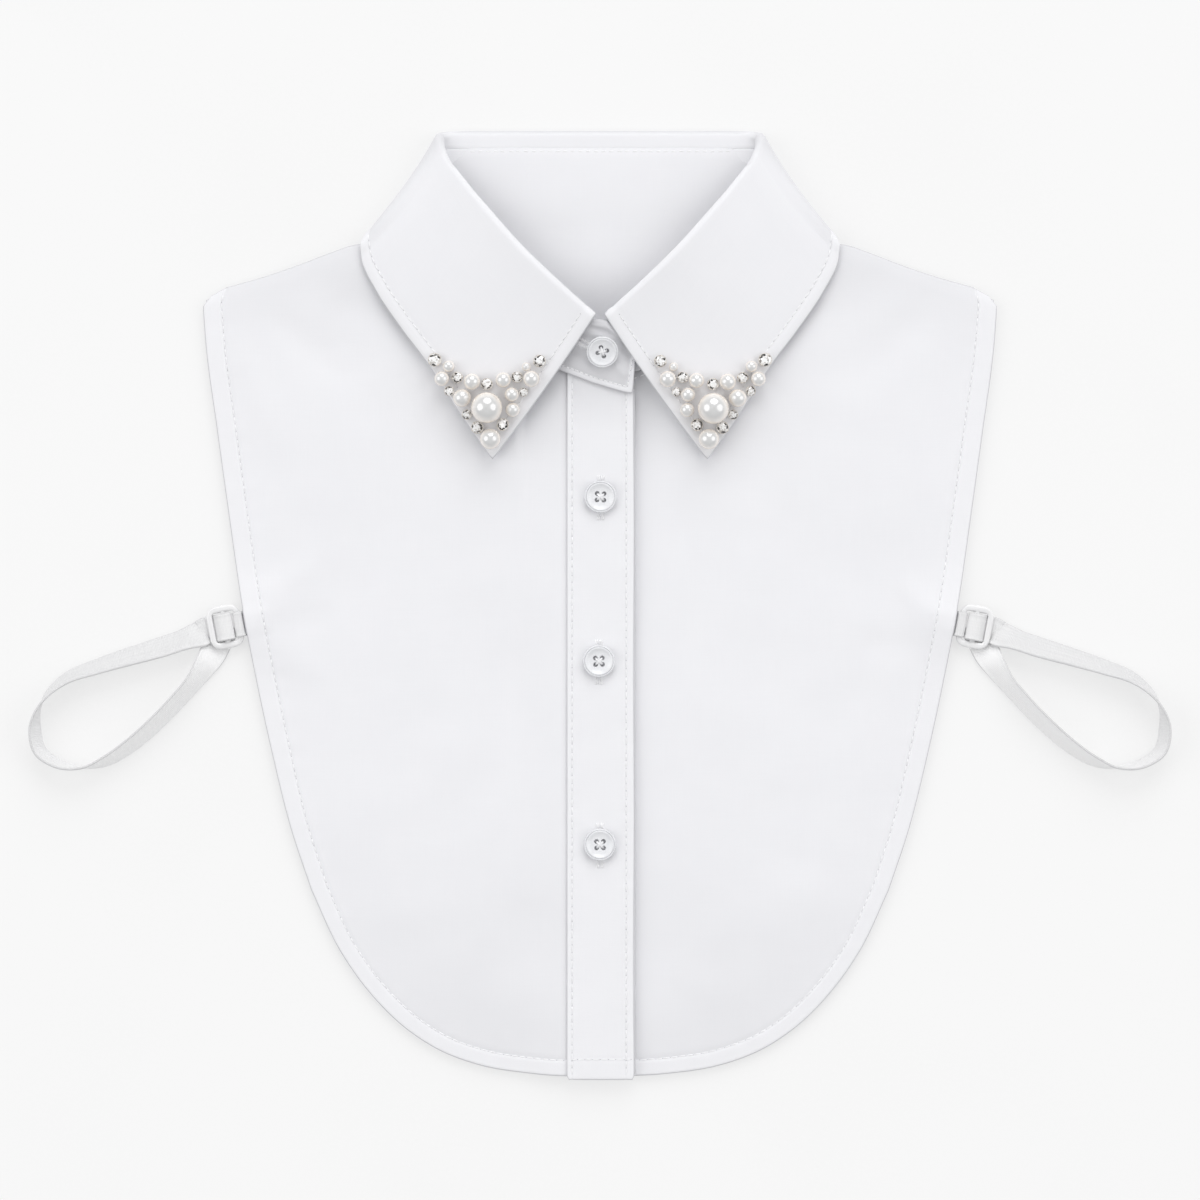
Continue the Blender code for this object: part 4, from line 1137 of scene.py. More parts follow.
def collar_leaf():
    from_edge, from_left = grid_distances(leaf_grid)
    front = np.minimum(
        distance_to_end(leaf_grid[:, ::6], 0), distance_to_end(leaf_grid[:, ::6], -1)
    )
    columns = np.arange(leaf_grid.shape[1])
    front = np.array([np.interp(columns, columns[::6], row) for row in front])
    near = np.minimum(from_edge, front)
    groove = -0.2 * bump_at(near, LEAF_STITCH, 0.5)
    puff = 0.16 * bump_at(near, 2.2, 1.5)
    tucks = seam_pucker(np.abs(near - LEAF_STITCH), from_left + from_edge * 0.6, 61, 0.07, 2.4)
    x, y = leaf_grid[..., 0], leaf_grid[..., 1]
    soft = 0.16 * swell(x, y, 46, 62) * soft_step(near, 2, 20)
    visible = soft_step(leaf_grid[..., 2], 1.5, 4)
    inner_line = np.where(from_edge > from_edge[:, [leaf_grid.shape[1] - 5]], 1.0, 0.0)
    half = COLLAR_WALL / 2 + (groove + puff + tucks) * (1 - inner_line)
    middle = leaf_grid + leaf_normals * (soft * visible)[..., None] * 0.8
    right = middle - leaf_normals * half[..., None]
    wrong = middle + leaf_normals * (COLLAR_WALL / 2 + groove * 0.4)[..., None]
    for sheet in (right, wrong):
        sheet[..., 2] = np.maximum(sheet[..., 2], 0.0)
    uv = np.stack([from_left[:, [0]] + 0 * from_edge, from_edge], axis=-1) * MM
    doubled_and_painted_light = soft_fall(near, LEAF_STITCH - 0.5, LEAF_STITCH + 0.5)
    # painted shade along the crest behind the neck, at its corners and down the folded sides
    top = y.max(axis=1, keepdims=True)
    leaf_painted_shade = soft_step(y, top - 1.1, top - 0.1) * soft_fall(np.abs(x), 51.0, 61.0) * (y > 166.0)
    corner = np.exp(-(((np.abs(x) - 60.5) / 3.0) ** 2) - ((y - 177.0) / 4.0) ** 2)
    from_side = beyond(x, y, (62.0, 176.5), (0.804, 0.595))
    side_fold = 0.75 * np.exp(-((from_side / 3.0) ** 2)) * soft_step(y, 134, 142)
    leaf_painted_shade = np.maximum(leaf_painted_shade, np.maximum(0.85 * corner, side_fold))
    doubled_and_painted_light = doubled_and_painted_light * (1 - leaf_painted_shade) - 0.75 * leaf_painted_shade
    return cloth_grid("cloth_leaf", right, wrong, uv, COTTON, doubled_and_painted_light), right


cloth_leaf, leaf_right_side = collar_leaf()
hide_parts("collar_leaf")
print("leaf points:", len(cloth_leaf.data.vertices))

# %% [markdown]
# ## The stand
#
# The stand is a stiff band, hidden at the back by the lining of the neck. In front its two ends
# overlap under the top button, the upper one with a buttonhole and the lower one with the button's
# thread, and the pull of the button wrinkles the upper one.


# %% Collar stand
END_STITCH = 1.7
STAND_CREASES = (
    (-12.5, 103.2, -4, 101, -0.75, 1.3), (-13.5, 100.6, -5.6, 97.6, 0.55, 0.9),
    (-6.5, 106.6, 7.5, 101.8, -0.6, 1.3), (-2.5, 107.8, 9, 101.5, 0.6, 0.9),
    (-14, 96, -6, 95, -0.5, 1.6), (7.5, 97.5, 12, 91, -0.45, 1.5), (5, 91.5, 11, 86, 0.35, 1.6),
    (-8, 92, 2, 85.5, 0.3, 2),
)


def stand_end_rows(table, count, between_rows):
    share = np.linspace(0, 0.985, count)[:, None]
    rows = np.array([np.array(a) * (1 - share) + np.array(b) * share for a, b in table])
    flat = rows.reshape(len(rows), -1)
    where = np.linspace(0, len(rows) - 1, between_rows)
    marks = np.concatenate([rows[:, :1].reshape(len(rows), -1), flat], axis=1)
    return curve_through(marks, where)[:, 3:].reshape(between_rows, count, 3)


def collar_stand():
    count = stand_grid.shape[1]
    left = stand_end_rows(TOP_STAND_END, count, 26)[::-1] * MIRROR
    right_end = stand_end_rows(UNDER_STAND_END, count, 18)
    grid = np.concatenate([left, stand_grid, right_end])
    ends = surface_normals(grid)
    first, last = len(left), len(grid) - len(right_end)
    normals = np.concatenate([ends[:first], stand_normals, ends[last:]])
    for _ in range(3):
        before, here, after = (normals[first + k - 4 : first + k + 4] for k in (-1, 0, 1))
        normals[first - 4 : first + 4] = unit(before + here + after)
    from_edge, run = grid_distances(grid)
    to_neck = from_edge[:, -1:] - from_edge
    to_end = distance_to_end(grid, 0)
    in_front = np.zeros(len(grid))
    in_front[: first + 30] = 1.0
    in_front = in_front[:, None]
    near = np.minimum(to_end, to_neck)
    groove = -0.2 * bump_at(near, END_STITCH, 0.42) * in_front
    at_back = 0.42 * soft_fall(np.abs(grid[:, [0], 0]), 50.0, 58.0) * (grid[:, [0], 1] > 165)
    x, y = grid[..., 0], grid[..., 1]
    pulls = 1.5 * crease_field(x, y, STAND_CREASES) * in_front
    tucks = seam_pucker(np.abs(near - END_STITCH), run + from_edge, 71, 0.06, 1.8) * in_front
    soft = 0.12 * swell(x, y, 30, 72)
    relief_there = groove + tucks + pulls + soft * (at_back < 0.1)
    right = grid + normals * (COLLAR_WALL / 2 - at_back + relief_there)[..., None]
    wrong = grid - normals * (COLLAR_WALL / 2)
    for sheet in (right, wrong):
        sheet[..., 2] = np.maximum(sheet[..., 2], 0.3)
    uv = np.stack([run[:, [0]] + 0 * from_edge, from_edge], axis=-1) * MM
    # white outside its stitches, and painted shade all over the front, as it lies in the leaf's
    # shade
    doubled_and_painted_light = soft_fall(near, 1.3, 2.1) * in_front - 0.75 * in_front
    return cloth_grid("cloth_stand", right, wrong, uv, COTTON, doubled_and_painted_light), right


cloth_stand, stand_face = collar_stand()
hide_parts("collar_stand")
print("stand points:", len(cloth_stand.data.vertices))

# %% [markdown]
# ## Thread and stitches
#
# A lockstitch shows as a row of short threads, each a little over 2 mm, that dip into the cloth
# at both ends. Painted dashes would vanish at a low angle, so every stitch is a small bent tube.
# They are all made by one array calculation: a cross-section swept along five stations, copied to
# every place on the seam line. The line is laid on the cloth by dropping rays, and a hand never
# sews quite evenly, so length and tilt vary a little.


# %% Thread finish
def thread_group():
    values = {"Twists": 2200.0}
    group, given, out = new_group("Twisted thread", "Along and round", values, ("Height", "Tone"))
    along, around, _ = split(group, given.outputs["Along and round"])
    turn = calculate(group, "MULTIPLY", along, given.outputs["Twists"])
    lay = calculate(group, "SINE", calculate(group, "MULTIPLY_ADD", around, 6.283, turn))
    fuzz = noise(group, given.outputs["Along and round"], 900.0, 2.0)
    height = calculate(group, "MULTIPLY_ADD", fuzz, 0.6, lay)
    tone = calculate(group, "MULTIPLY_ADD", lay, 0.15, fuzz)
    give_out(group, out, Height=height, Tone=tone)
    return group


TWIST = thread_group()


def thread_finish():
    finish, tree, shader = new_finish("white_thread")
    twist = use_group(tree, TWIST, flat_cloth(tree))
    colour = between(tree, twist.outputs["Tone"], (0.84, 0.84, 0.86), (0.92, 0.92, 0.93))
    paint(tree, shader, colour, twist.outputs["Tone"], 0.2, 0.42)
    shader.inputs["Sheen Weight"].default_value = 0.2
    relief(tree, shader, twist.outputs["Height"], 0.00003, 0.5)
    return finish


def hole_shade_finish():
    """Cloth colour at the rim, and painted shade towards the middle."""
    finish, tree, shader = new_finish("needle_hole")
    length = tree.nodes.new("ShaderNodeVectorMath")
    length.operation = "LENGTH"
    tree.links.new(flat_cloth(tree), length.inputs[0])
    rough_rim = noise(tree, object_place(tree), 2600.0, 2.0)
    share = calculate(tree, "MULTIPLY_ADD", rough_rim, 0.3, length.outputs["Value"])
    colour = between(tree, share, (0.34, 0.34, 0.36), (0.79, 0.79, 0.815))
    paint(tree, shader, colour, rough_rim, 0.1, 0.8)
    relief(tree, shader, share, 0.0001, 0.5)
    return finish


THREAD = thread_finish()
PAINTED_HOLE_SHADE = hole_shade_finish()
print("thread ready")


# %% Stitches as bent tubes
def tubes(name, starts, ends, ups, radius, rise, finish, sides=6, stations=5, sink=0.1):
    """One mesh of many short bent tubes, from each start to each end, arched along each up."""
    starts, ends = np.asarray(starts, float), np.asarray(ends, float)
    ups = unit(ups)
    heading = unit(ends - starts)
    ups = unit(ups - heading * (ups * heading).sum(axis=1, keepdims=True))
    beside = np.cross(heading, ups)
    share = np.linspace(0, 1, stations)
    arch = np.sin(math.pi * share) * rise - sink * (np.abs(share * 2 - 1) ** 3)
    thin = 1.0 - 0.35 * np.abs(share * 2 - 1) ** 4
    turn = np.linspace(0, 2 * math.pi, sides, endpoint=False)
    middle = starts[:, None] + (ends - starts)[:, None] * share[None, :, None]
    middle = middle + ups[:, None] * arch[None, :, None]
    ring = np.cos(turn)[None, None, :, None] * beside[:, None, None, :]
    ring = ring + np.sin(turn)[None, None, :, None] * ups[:, None, None, :]
    points = middle[:, :, None] + ring * (radius * thin)[None, :, None, None]
    count = len(starts)
    size = stations * sides
    base = (np.arange(count) * size)[:, None, None]
    station = (np.arange(stations - 1) * sides)[None, :, None]
    k = np.arange(sides)[None, None, :]
    after = (k + 1) % sides
    corner = base + station
    quads = [corner + k, corner + after, corner + sides + after, corner + sides + k]
    quads = np.stack(quads, axis=-1).reshape(-1, 4)
    first = (base[:, 0] + np.arange(sides)[::-1][None]).tolist()
    last = (base[:, 0] + (stations - 1) * sides + np.arange(sides)[None]).tolist()
    length = np.linalg.norm(ends - starts, axis=1)
    u = (length[:, None] * share[None])[:, :, None] + 0 * turn[None, None]
    v = 0 * u + turn[None, None] / (2 * math.pi)
    uv = np.stack([u * MM, v * MM], axis=-1).reshape(-1, 2)
    return new_object(name, points.reshape(-1, 3), quads.tolist() + first + last, uv, finish)


print("tube points in a stitch:", 5 * 6)


# %% Rows of stitches
def needle_holes(name, places, ups, radius=0.36, sides=8):
    """Small flat discs with painted shade where the thread goes down, one mesh of them on the
    cloth.
    """
    places, ups = np.asarray(places, float), unit(ups)
    side = unit(np.cross(ups, (0.3, 1.0, 0.1)))
    other = np.cross(ups, side)
    turn = np.linspace(0, 2 * math.pi, sides, endpoint=False)
    rim = np.cos(turn)[None, :, None] * side[:, None] + np.sin(turn)[None, :, None] * other[:, None]
    points = np.concatenate([places[:, None], places[:, None] + rim * radius], axis=1)
    size = sides + 1
    base = np.arange(len(places))[:, None] * size
    k = np.arange(sides)[None]
    faces = np.stack([base + 0 * k, base + 1 + k, base + 1 + (k + 1) % sides], axis=-1)
    circle = np.stack([np.cos(turn), np.sin(turn)], axis=1)
    uv = np.tile(np.concatenate([[[0.0, 0.0]], circle]), (len(places), 1))
    obj = new_object(name, points.reshape(-1, 3), faces.reshape(-1, 3).tolist(), uv, PAINTED_HOLE_SHADE)
    return obj


def seam_places(line, pitch, share, seed):
    """Start and end places of the stitches along a line in plan."""
    random = np.random.default_rng(seed)
    runs = lengths_along(line)
    count = int(runs[-1] / pitch)
    begins = (np.arange(count) + 0.5 * (1 - share)) * runs[-1] / count
    begins = begins + random.uniform(-0.06, 0.06, count) * pitch
    finishes = begins + pitch * share * random.uniform(0.94, 1.06, count)

    def at(run):
        return np.stack([np.interp(run, runs, line[:, k]) for k in range(2)], axis=1)

    return np.stack([at(begins), at(finishes)], axis=1)


STITCH_PITCH = 2.9
STITCH_SHARE = 0.74
THREAD_RADIUS = 0.2


def sew(name, look, lines, seed, pitch=STITCH_PITCH, depth=0.02):
    """Rows of stitches laid on the surface that look() reads, except across a step in it."""
    starts, ends, ups = [], [], []
    for number, line in enumerate(lines):
        for a, b in seam_places(np.asarray(line, float), pitch, STITCH_SHARE, seed + number):
            low, high = look(*a), look(*b)
            if low is None or high is None or abs(low[0] - high[0]) > 1.5:
                continue
            starts.append((*a, low[0] + depth))
            ends.append((*b, high[0] + depth))
            ups.append(low[1] + high[1])
    obj = tubes(name, starts, ends, ups, THREAD_RADIUS, 0.13, THREAD)
    starts, ends, ups = np.array(starts), np.array(ends), unit(ups)
    holes = ends + unit(ends - starts) * pitch * (1 - STITCH_SHARE) / 2 + ups * 0.06
    needle_holes(name + "_holes", holes, ups)
    print(name, "stitches:", len(starts))


# %% [markdown]
# ## Where the seams run
#
# The hem's stitches follow the groove that the fronts already have. The band has two long rows and
# a short one across its lower end. The leaf's row keeps 4.2 mm inside its edge all the way round
# the point, and the stand has one close to its end and its neck edge.


# %% Hem and band seams
def offset_line(line, offset):
    return line + inward_directions(line) * offset


fronts_look = surface_below(cloth_left, cloth_right)
hem_rows = []
for line, side in ((right_hem_line, 1.0), (left_hem_line, -1.0)):
    plain = line * np.array([side, 1.0])
    hem_rows.append(offset_line(plain, -0.75)[6:] * np.array([side, 1.0]))
sew("hem_stitches", fronts_look, hem_rows, 100)
band_look = surface_below(cloth_band)
band_rows = [
    np.array([(x, PLACKET_END + 1.6), (x, top)])
    for x, top in zip(PLACKET_STITCHES, (84.5, 80.8))
]
band_rows.append(np.array([(-11.6, PLACKET_ROW), (12.0, PLACKET_ROW)]))
sew("band_stitches", band_look, band_rows, 120)

# %% [markdown]
# Leaf and stand are not flat, and their stitch lines are known on their own grids rather than in
# plan. So each line is found there: the points at the wanted length from the edge, read off each
# slice. Where a slice meets the edge at a slant, the length is measured square to the edge.


# %% Leaf, stand and back seams
def inset_line(grid, inset):
    """Plan line at this length from the first column of a grid."""
    lengths = grid_distances(grid)[0]
    return np.array(
        [[np.interp(inset, run, row[:, k]) for k in range(2)] for run, row in zip(lengths, grid)]
    )


def meet(first, second):
    """Both lines cut off where they come closest: the first ends there and the second starts."""
    gaps = np.linalg.norm(first[:, None] - second[None], axis=2)
    i, j = np.unravel_index(gaps.argmin(), gaps.shape)
    return first[: i + 1], second[j:]


def leaf_seams(grid):
    """Outer and front stitch lines of half a leaf whose last row is its front edge."""
    outer = inset_line(grid, LEAF_STITCH)
    end = grid[-1, :-15]
    slope = unit(np.gradient(end, axis=0))
    inwards = grid[-8, :-15] - end
    inwards = unit(inwards - slope * (inwards * slope).sum(axis=1, keepdims=True))
    outer, front = meet(outer, (end + inwards * LEAF_STITCH)[:, :2])
    return [outer[np.argmax(np.abs(outer[:, 0]) > 86.0) :], front]


leaf_middle = len(leaf_grid) // 2
leaf_rows = leaf_seams(leaf_right_side[leaf_middle:]) + leaf_seams(leaf_right_side[leaf_middle::-1])
sew("leaf_stitches", surface_below(cloth_leaf), leaf_rows, 140)

stand_row = inset_line(stand_face[1:80, ::-1], END_STITCH)
end_row = inset_line(np.swapaxes(stand_face[:60], 0, 1), END_STITCH)
stand_look = surface_below(cloth_stand)
sew("stand_stitches", stand_look, meet(end_row, stand_row), 160, pitch=1.9)

back_rows = [np.array([(-50.0, NECK_STITCH), (50.0, NECK_STITCH)])]
sew("back_stitches", surface_below(cloth_back), back_rows, 170, depth=-0.1)
lower_neck = np.array([(11.5, 85.6), (14.4, 86.4), (18.5, 88.3), (24.0, 91.0)])
sew("lower_neck_stitches", surface_below(cloth_right), [lower_neck], 180)

# %% [markdown]
# ## Buttonholes
#
# A buttonhole is a cut whose two sides are bound with close whip stitches, with a fan of four long
# ones at each end where the pull comes. It runs along the band, but on the stand it lies along the
# collar. Only its ends look out from under the button, but it is whole, because it also shows from
# the side.


# %% Buttonholes
HOLE_THREAD = 0.2
HOLE_PITCH = 0.42


def buttonhole(name, look, start, end, half_width=1.35, seed=0):
    random = np.random.default_rng(seed)
    start, end = np.asarray(start, float), np.asarray(end, float)
    along = unit(end - start)
    beside = np.array([-along[1], along[0]])
    length = np.linalg.norm(end - start)
    pairs = []
    for k in range(int(length / HOLE_PITCH)):
        place = start + along * (HOLE_PITCH * (k + 0.5))
        for side in (-1, 1):
            near = place + beside * side * 0.24
            far = place + beside * side * half_width * random.uniform(0.92, 1.04)
            pairs.append((near, far + along * random.uniform(-0.08, 0.08)))
    for tip, inwards in ((start, 1), (end, -1)):
        for share in (-1.0, -0.36, 0.3, 1.0):
            near = tip + along * inwards * 1.5 + beside * share * half_width * 0.72
            far = tip - along * inwards * (0.5 - 0.2 * abs(share)) + beside * share * half_width
            pairs.append((near, far))
    starts, ends, ups = [], [], []
    for a, b in pairs:
        low, high = look(*a), look(*b)
        starts.append((*a, low[0] + 0.1))
        ends.append((*b, high[0] + 0.02))
        ups.append(low[1] + high[1])
    obj = tubes(name, starts, ends, ups, HOLE_THREAD, 0.16, THREAD, sides=5, stations=4)
    return obj


for number, (bx, by) in enumerate(BUTTONS, 2):
    buttonhole(f"buttonhole_{number}", band_look, (bx, by + 7.8), (bx, by - 8.7), seed=number)
buttonhole("buttonhole_1", stand_look, (-9.4, 100.9), (3.4, 93.6), 1.5, seed=1)
print("buttonholes sewn:", 1 + len(BUTTONS))

# %% [markdown]
# ## Buttons
#
# A shirt button is turned from a disc: a rounded rim with a fine groove inside it, a dished middle
# and four drilled holes. A profile is spun round for the disc and four cylinders are cut out. The
# thread goes through the holes crosswise, three strands each way, and sinks into them.


# %% Button and thread finishes
def plastic_group():
    values = {"Scratches": 900.0}
    group, given, out = new_group("Handled plastic", "Place", values, ("Cloud", "Wear"))
    place = given.outputs["Place"]
    cloud = noise(group, place, 160.0, 3.0, 0.6)
    hairs = noise(group, stretched(group, place, (1.0, 6.0, 1.0)), given.outputs["Scratches"], 2.0)
    give_out(group, out, Cloud=cloud, Wear=hairs)
    return group


PLASTIC = plastic_group()


def plastic_finish(name, low, high, roughness, coat):
    finish, tree, shader = new_finish(name)
    plastic = use_group(tree, PLASTIC, object_place(tree))
    colour = between(tree, plastic.outputs["Cloud"], low, high)
    paint(tree, shader, colour, plastic.outputs["Wear"], 0.12, roughness)
    shader.inputs["Coat Weight"].default_value = coat
    shader.inputs["Coat Roughness"].default_value = 0.08
    relief(tree, shader, plastic.outputs["Wear"], 0.00002, 0.3)
    return finish


BUTTON_WHITE = plastic_finish("button_white", (0.73, 0.738, 0.762), (0.80, 0.808, 0.828), 0.22, 0.5)
SLIDER_WHITE = plastic_finish("slider_white", (0.75, 0.75, 0.76), (0.82, 0.82, 0.825), 0.24, 0.4)
print("plastic ready")

# %% Button disc
HOLE_SPACING = (2.65, 2.5)
HOLE_RADIUS = 0.88
# radius, height above the middle plane
BUTTON_PROFILE = (
    (4.2, -1.15), (5.2, -0.9), (5.85, -0.35), (6.05, 0.15), (6.03, 0.6), (5.92, 0.92),
    (5.77, 1.08), (5.62, 1.08), (5.52, 0.98), (5.45, 0.74), (5.37, 0.74), (5.28, 1), (5.12, 1.1),
    (4.92, 1.1), (4.72, 1), (4.4, 0.78), (3.9, 0.54), (3.2, 0.36), (2.2, 0.25), (1, 0.23),
)


def spun(profile, segments, low, high):
    """Points and faces of a profile spun round the z axis, closed at both ends."""
    points = [(0.0, 0.0, low)]
    for radius, height in profile:
        for k in range(segments):
            turn = 2 * math.pi * k / segments
            points.append((radius * math.cos(turn), radius * math.sin(turn), height))
    points.append((0.0, 0.0, high))
    faces = []
    for k in range(segments):
        after = (k + 1) % segments
        faces.append((0, 1 + after, 1 + k))
        for ring in range(len(profile) - 1):
            a = 1 + ring * segments
            faces.append((a + k, a + after, a + segments + after, a + segments + k))
        last = 1 + (len(profile) - 1) * segments
        faces.append((last + k, last + after, len(points) - 1))
    return points, faces


def raw_mesh(name, points, faces, finish):
    mesh = bpy.data.meshes.new(name)
    mesh.from_pydata((np.asarray(points) * MM).tolist(), [], faces)
    mesh.shade_smooth()
    mesh.materials.append(finish)
    return mesh


print("points on a spun button:", len(spun(BUTTON_PROFILE, 56, -1.15, 0.23)[0]))


# %% Drilled button
def button_mesh():
    disc = raw_mesh("disc", *spun(BUTTON_PROFILE, 56, -1.15, 0.23), BUTTON_WHITE)
    blank = add_object("button_blank", disc)
    tools = []
    for number, (across, along) in enumerate(((-1, -1), (1, -1), (1, 1), (-1, 1))):
        drill = spun([(HOLE_RADIUS, -3.0), (HOLE_RADIUS, 3.0)], 20, -3.0, 3.0)
        tool = add_object(f"drill_{number}", raw_mesh(f"drill_{number}", *drill, BUTTON_WHITE))
        tool.location = (across * HOLE_SPACING[0] / 2 * MM, along * HOLE_SPACING[1] / 2 * MM, 0)
        cut = blank.modifiers.new("hole", "BOOLEAN")
        cut.operation, cut.solver, cut.object = "DIFFERENCE", "EXACT", tool
        tools.append(tool)
    bpy.context.view_layer.update()
    evaluated = blank.evaluated_get(bpy.context.evaluated_depsgraph_get())
    mesh = bpy.data.meshes.new_from_object(evaluated)
    for helper in [blank, *tools]:
        bpy.data.objects.remove(helper, do_unlink=True)
    mesh.shade_smooth()
    mesh.set_sharp_from_angle(angle=math.radians(40))
    return mesh


def node_points(name):
    return np.array([tuple(v.co) for v in frame["nodes"][name].data.vertices])


def disc_pose(name, turn):
    """Where a packed button lies: its middle and a rotation from flat to its slope."""
    points = node_points(name)
    middle = points.mean(axis=0)
    axis = np.linalg.svd(points - middle)[2][-1]
    axis = axis * np.sign(axis[2])
    heights = (points - middle) @ axis
    centre = middle + axis * (heights.max() + heights.min()) / 2
    facing = Vector((0, 0, 1)).rotation_difference(Vector(axis)).to_matrix().to_4x4()
    spin = Matrix.Rotation(math.radians(turn), 4, "Z")
    return Matrix.Translation(Vector(centre)) @ facing @ spin


shirt_button = button_mesh()
print("triangles in a button:", sum(len(p.vertices) - 2 for p in shirt_button.polygons))

# %% [markdown]
# The thread of a button crosses in the middle. Each strand dives into its two holes, so strands are
# the same bent tubes as the stitches, with more stations and a deeper sink. Two crossing bundles
# lie at slightly different heights, because one is sewn after the other.


# %% Buttons in place
def placed(obj, pose):
    obj.data.transform(pose)
    return obj


def cross_thread(name, pose):
    starts, ends, ups = [], [], []
    half = np.array(HOLE_SPACING) / 2 * 1.06
    for layer, direction in enumerate(((1, 1), (1, -1))):
        arm = half * np.array(direction)
        beside = unit(np.array([-arm[1], arm[0]])) * 0.24
        for k in (-1, 0, 1):
            offset = beside * k
            height = 0.44 + 0.18 * layer - 0.05 * abs(k)
            starts.append((*(offset - arm), height))
            ends.append((*(arm + offset), height))
            ups.append((0.0, 0.0, 1.0))
    obj = tubes(name, starts, ends, ups, 0.15, 0.1, THREAD, sides=8, stations=13, sink=1.3)
    return placed(obj, pose)


BUTTON_TURNS = {"button_1": -29.0, "button_2": -2.0, "button_3": 2.0, "button_4": 1.0}
for name, turn in BUTTON_TURNS.items():
    pose = disc_pose(name, turn)
    button = placed(add_object(f"turned_{name}", shirt_button.copy()), pose)
    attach(button, "root")
    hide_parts(name)
    cross_thread(f"thread_{name}", pose)
print("buttons placed:", len(BUTTON_TURNS))

# %% [markdown]
# ## Pearls
#
# Costume pearls are glass or plastic balls dipped in a pearl lacquer. The lacquer has thin bright
# layers, so it mirrors far more than plastic does, but softly; a high index of refraction gives
# that. Its colour is painted light: grey on top, as a painted reflection of the dark room above,
# and cream lower down, as a painted warm glow. The bead's own map says how far down a point is, and
# the tint follows it.


# %% Pearl lacquer
def nacre_group():
    values = {"Cream line": 0.3}
    group, given, out = new_group("Pearl lacquer", "Round and down", values, ("Cream", "Cloud"))
    place = given.outputs["Round and down"]
    _, down, _ = split(group, place)
    cloud = noise(group, stretched(group, place, (5.0, 9.0, 1.0)), 1.0, 3.0)
    wavy = calculate(group, "MULTIPLY_ADD", cloud, 0.12, down)
    below = calculate(group, "SUBTRACT", wavy, given.outputs["Cream line"])
    # painted light: the share of cream, a painted warm glow, rises below the line
    cream = calculate(group, "MULTIPLY_ADD", below, 2.6, 0.35, clamp=True)
    give_out(group, out, Cream=cream, Cloud=cloud)
    return group


NACRE = nacre_group()


def pearl_finish():
    finish, tree, shader = new_finish("pearl_lacquer")
    nacre = use_group(tree, NACRE, flat_cloth(tree))
    # painted light: grey on top as a painted reflection, cream lower down as a painted warm glow
    colour = between(tree, nacre.outputs["Cream"], (0.64, 0.64, 0.64), (0.92, 0.85, 0.77))
    paint(tree, shader, colour, nacre.outputs["Cloud"], 0.1, 0.1)
    shader.inputs["IOR"].default_value = 2.9
    shader.inputs["Coat Weight"].default_value = 0.5
    shader.inputs["Coat Roughness"].default_value = 0.04
    relief(tree, shader, nacre.outputs["Cloud"], 0.00004, 0.2)
    return finish


PEARL_WHITE = pearl_finish()
print("pearl lacquer ready")


# %% Pearls
def ball_grid(rings=20, segments=32):
    """Points of a unit ball, its quads and its map of turn and share of the way down."""
    down = np.linspace(0.004, 0.996, rings)
    turn = np.linspace(0, 1, segments + 1)
    v, u = np.meshgrid(down, turn, indexing="ij")
    points = np.stack(
        [
            np.sin(math.pi * v) * np.cos(2 * math.pi * u),
            np.sin(math.pi * v) * np.sin(2 * math.pi * u),
            np.cos(math.pi * v),
        ],
        axis=-1,
    )
    uv = np.stack([u, v], axis=-1)
    return points.reshape(-1, 3), grid_quads(rings, segments + 1), uv.reshape(-1, 2)


BALL, BALL_QUADS, BALL_MAP = ball_grid()


def balls(name, centres, radii, finish):
    points = np.concatenate([BALL * r + c for c, r in zip(centres, radii)])
    faces = np.concatenate([BALL_QUADS + k * len(BALL) for k in range(len(radii))])
    uv = np.concatenate([BALL_MAP + np.array([0.37 * k, 0.0]) for k in range(len(radii))])
    return new_object(name, points, faces.tolist(), uv, finish)


LARGE_PEARLS = 7
# small pearls on each collar point: x, y, radius
SMALL_PEARLS = (
    (57, 90.5, 2.2), (27.7, 90.2, 1.7), (33.1, 79.8, 2.7), (33, 74.1, 2.7),
)
leaf_look = surface_below(cloth_leaf)
BEAD_GAP = 0.12


def on_leaf(x, y, height):
    z, normal = leaf_look(x, y)
    return np.array([x, y, z]) + normal * height


for label, side in SIDES:
    for number in range(1, LARGE_PEARLS + 1):
        node = f"pearl_{label}_{number}"
        points = node_points(node) / MM
        centre = (points.min(axis=0) + points.max(axis=0)) / 2
        radius = (points[:, 2].max() - points[:, 2].min()) / 2
        pearl = balls(f"lacquered_{node}", [centre], [radius], PEARL_WHITE)
        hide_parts(node)
    centres = [on_leaf(side * x, y, r + BEAD_GAP) for x, y, r in SMALL_PEARLS]
    small = balls(f"small_pearls_{label}", centres, [row[2] for row in SMALL_PEARLS], PEARL_WHITE)
print("pearls on each point:", LARGE_PEARLS + len(SMALL_PEARLS))

# %% [markdown]
# ## Set stones
#
# Between the pearls sit cut glass stones in little metal cups with four claws. A cut stone shows a
# star of light and dark pieces, because each facet sends back another part of the room by way of
# its foiled underside. The facets are real faces here, and that light and dark is painted
# reflection:
# the map gives each one the share of light that its foil sends back and a number, from which a
# white noise node makes it uneven.


# %% Stone and metal finishes
def foil_group():
    group, given, out = new_group("Foiled facets", "Facet", {"Unevenness": 0.06}, ("Light",))
    share, number, _ = split(group, given.outputs["Facet"])
    grain = group.nodes.new("ShaderNodeTexWhiteNoise")
    grain.noise_dimensions = "1D"
    group.links.new(number, grain.inputs["W"])
    uneven = given.outputs["Unevenness"]
    light = calculate(group, "MULTIPLY_ADD", grain.outputs["Value"], uneven, share)
    give_out(group, out, Light=light)
    return group


FOIL = foil_group()
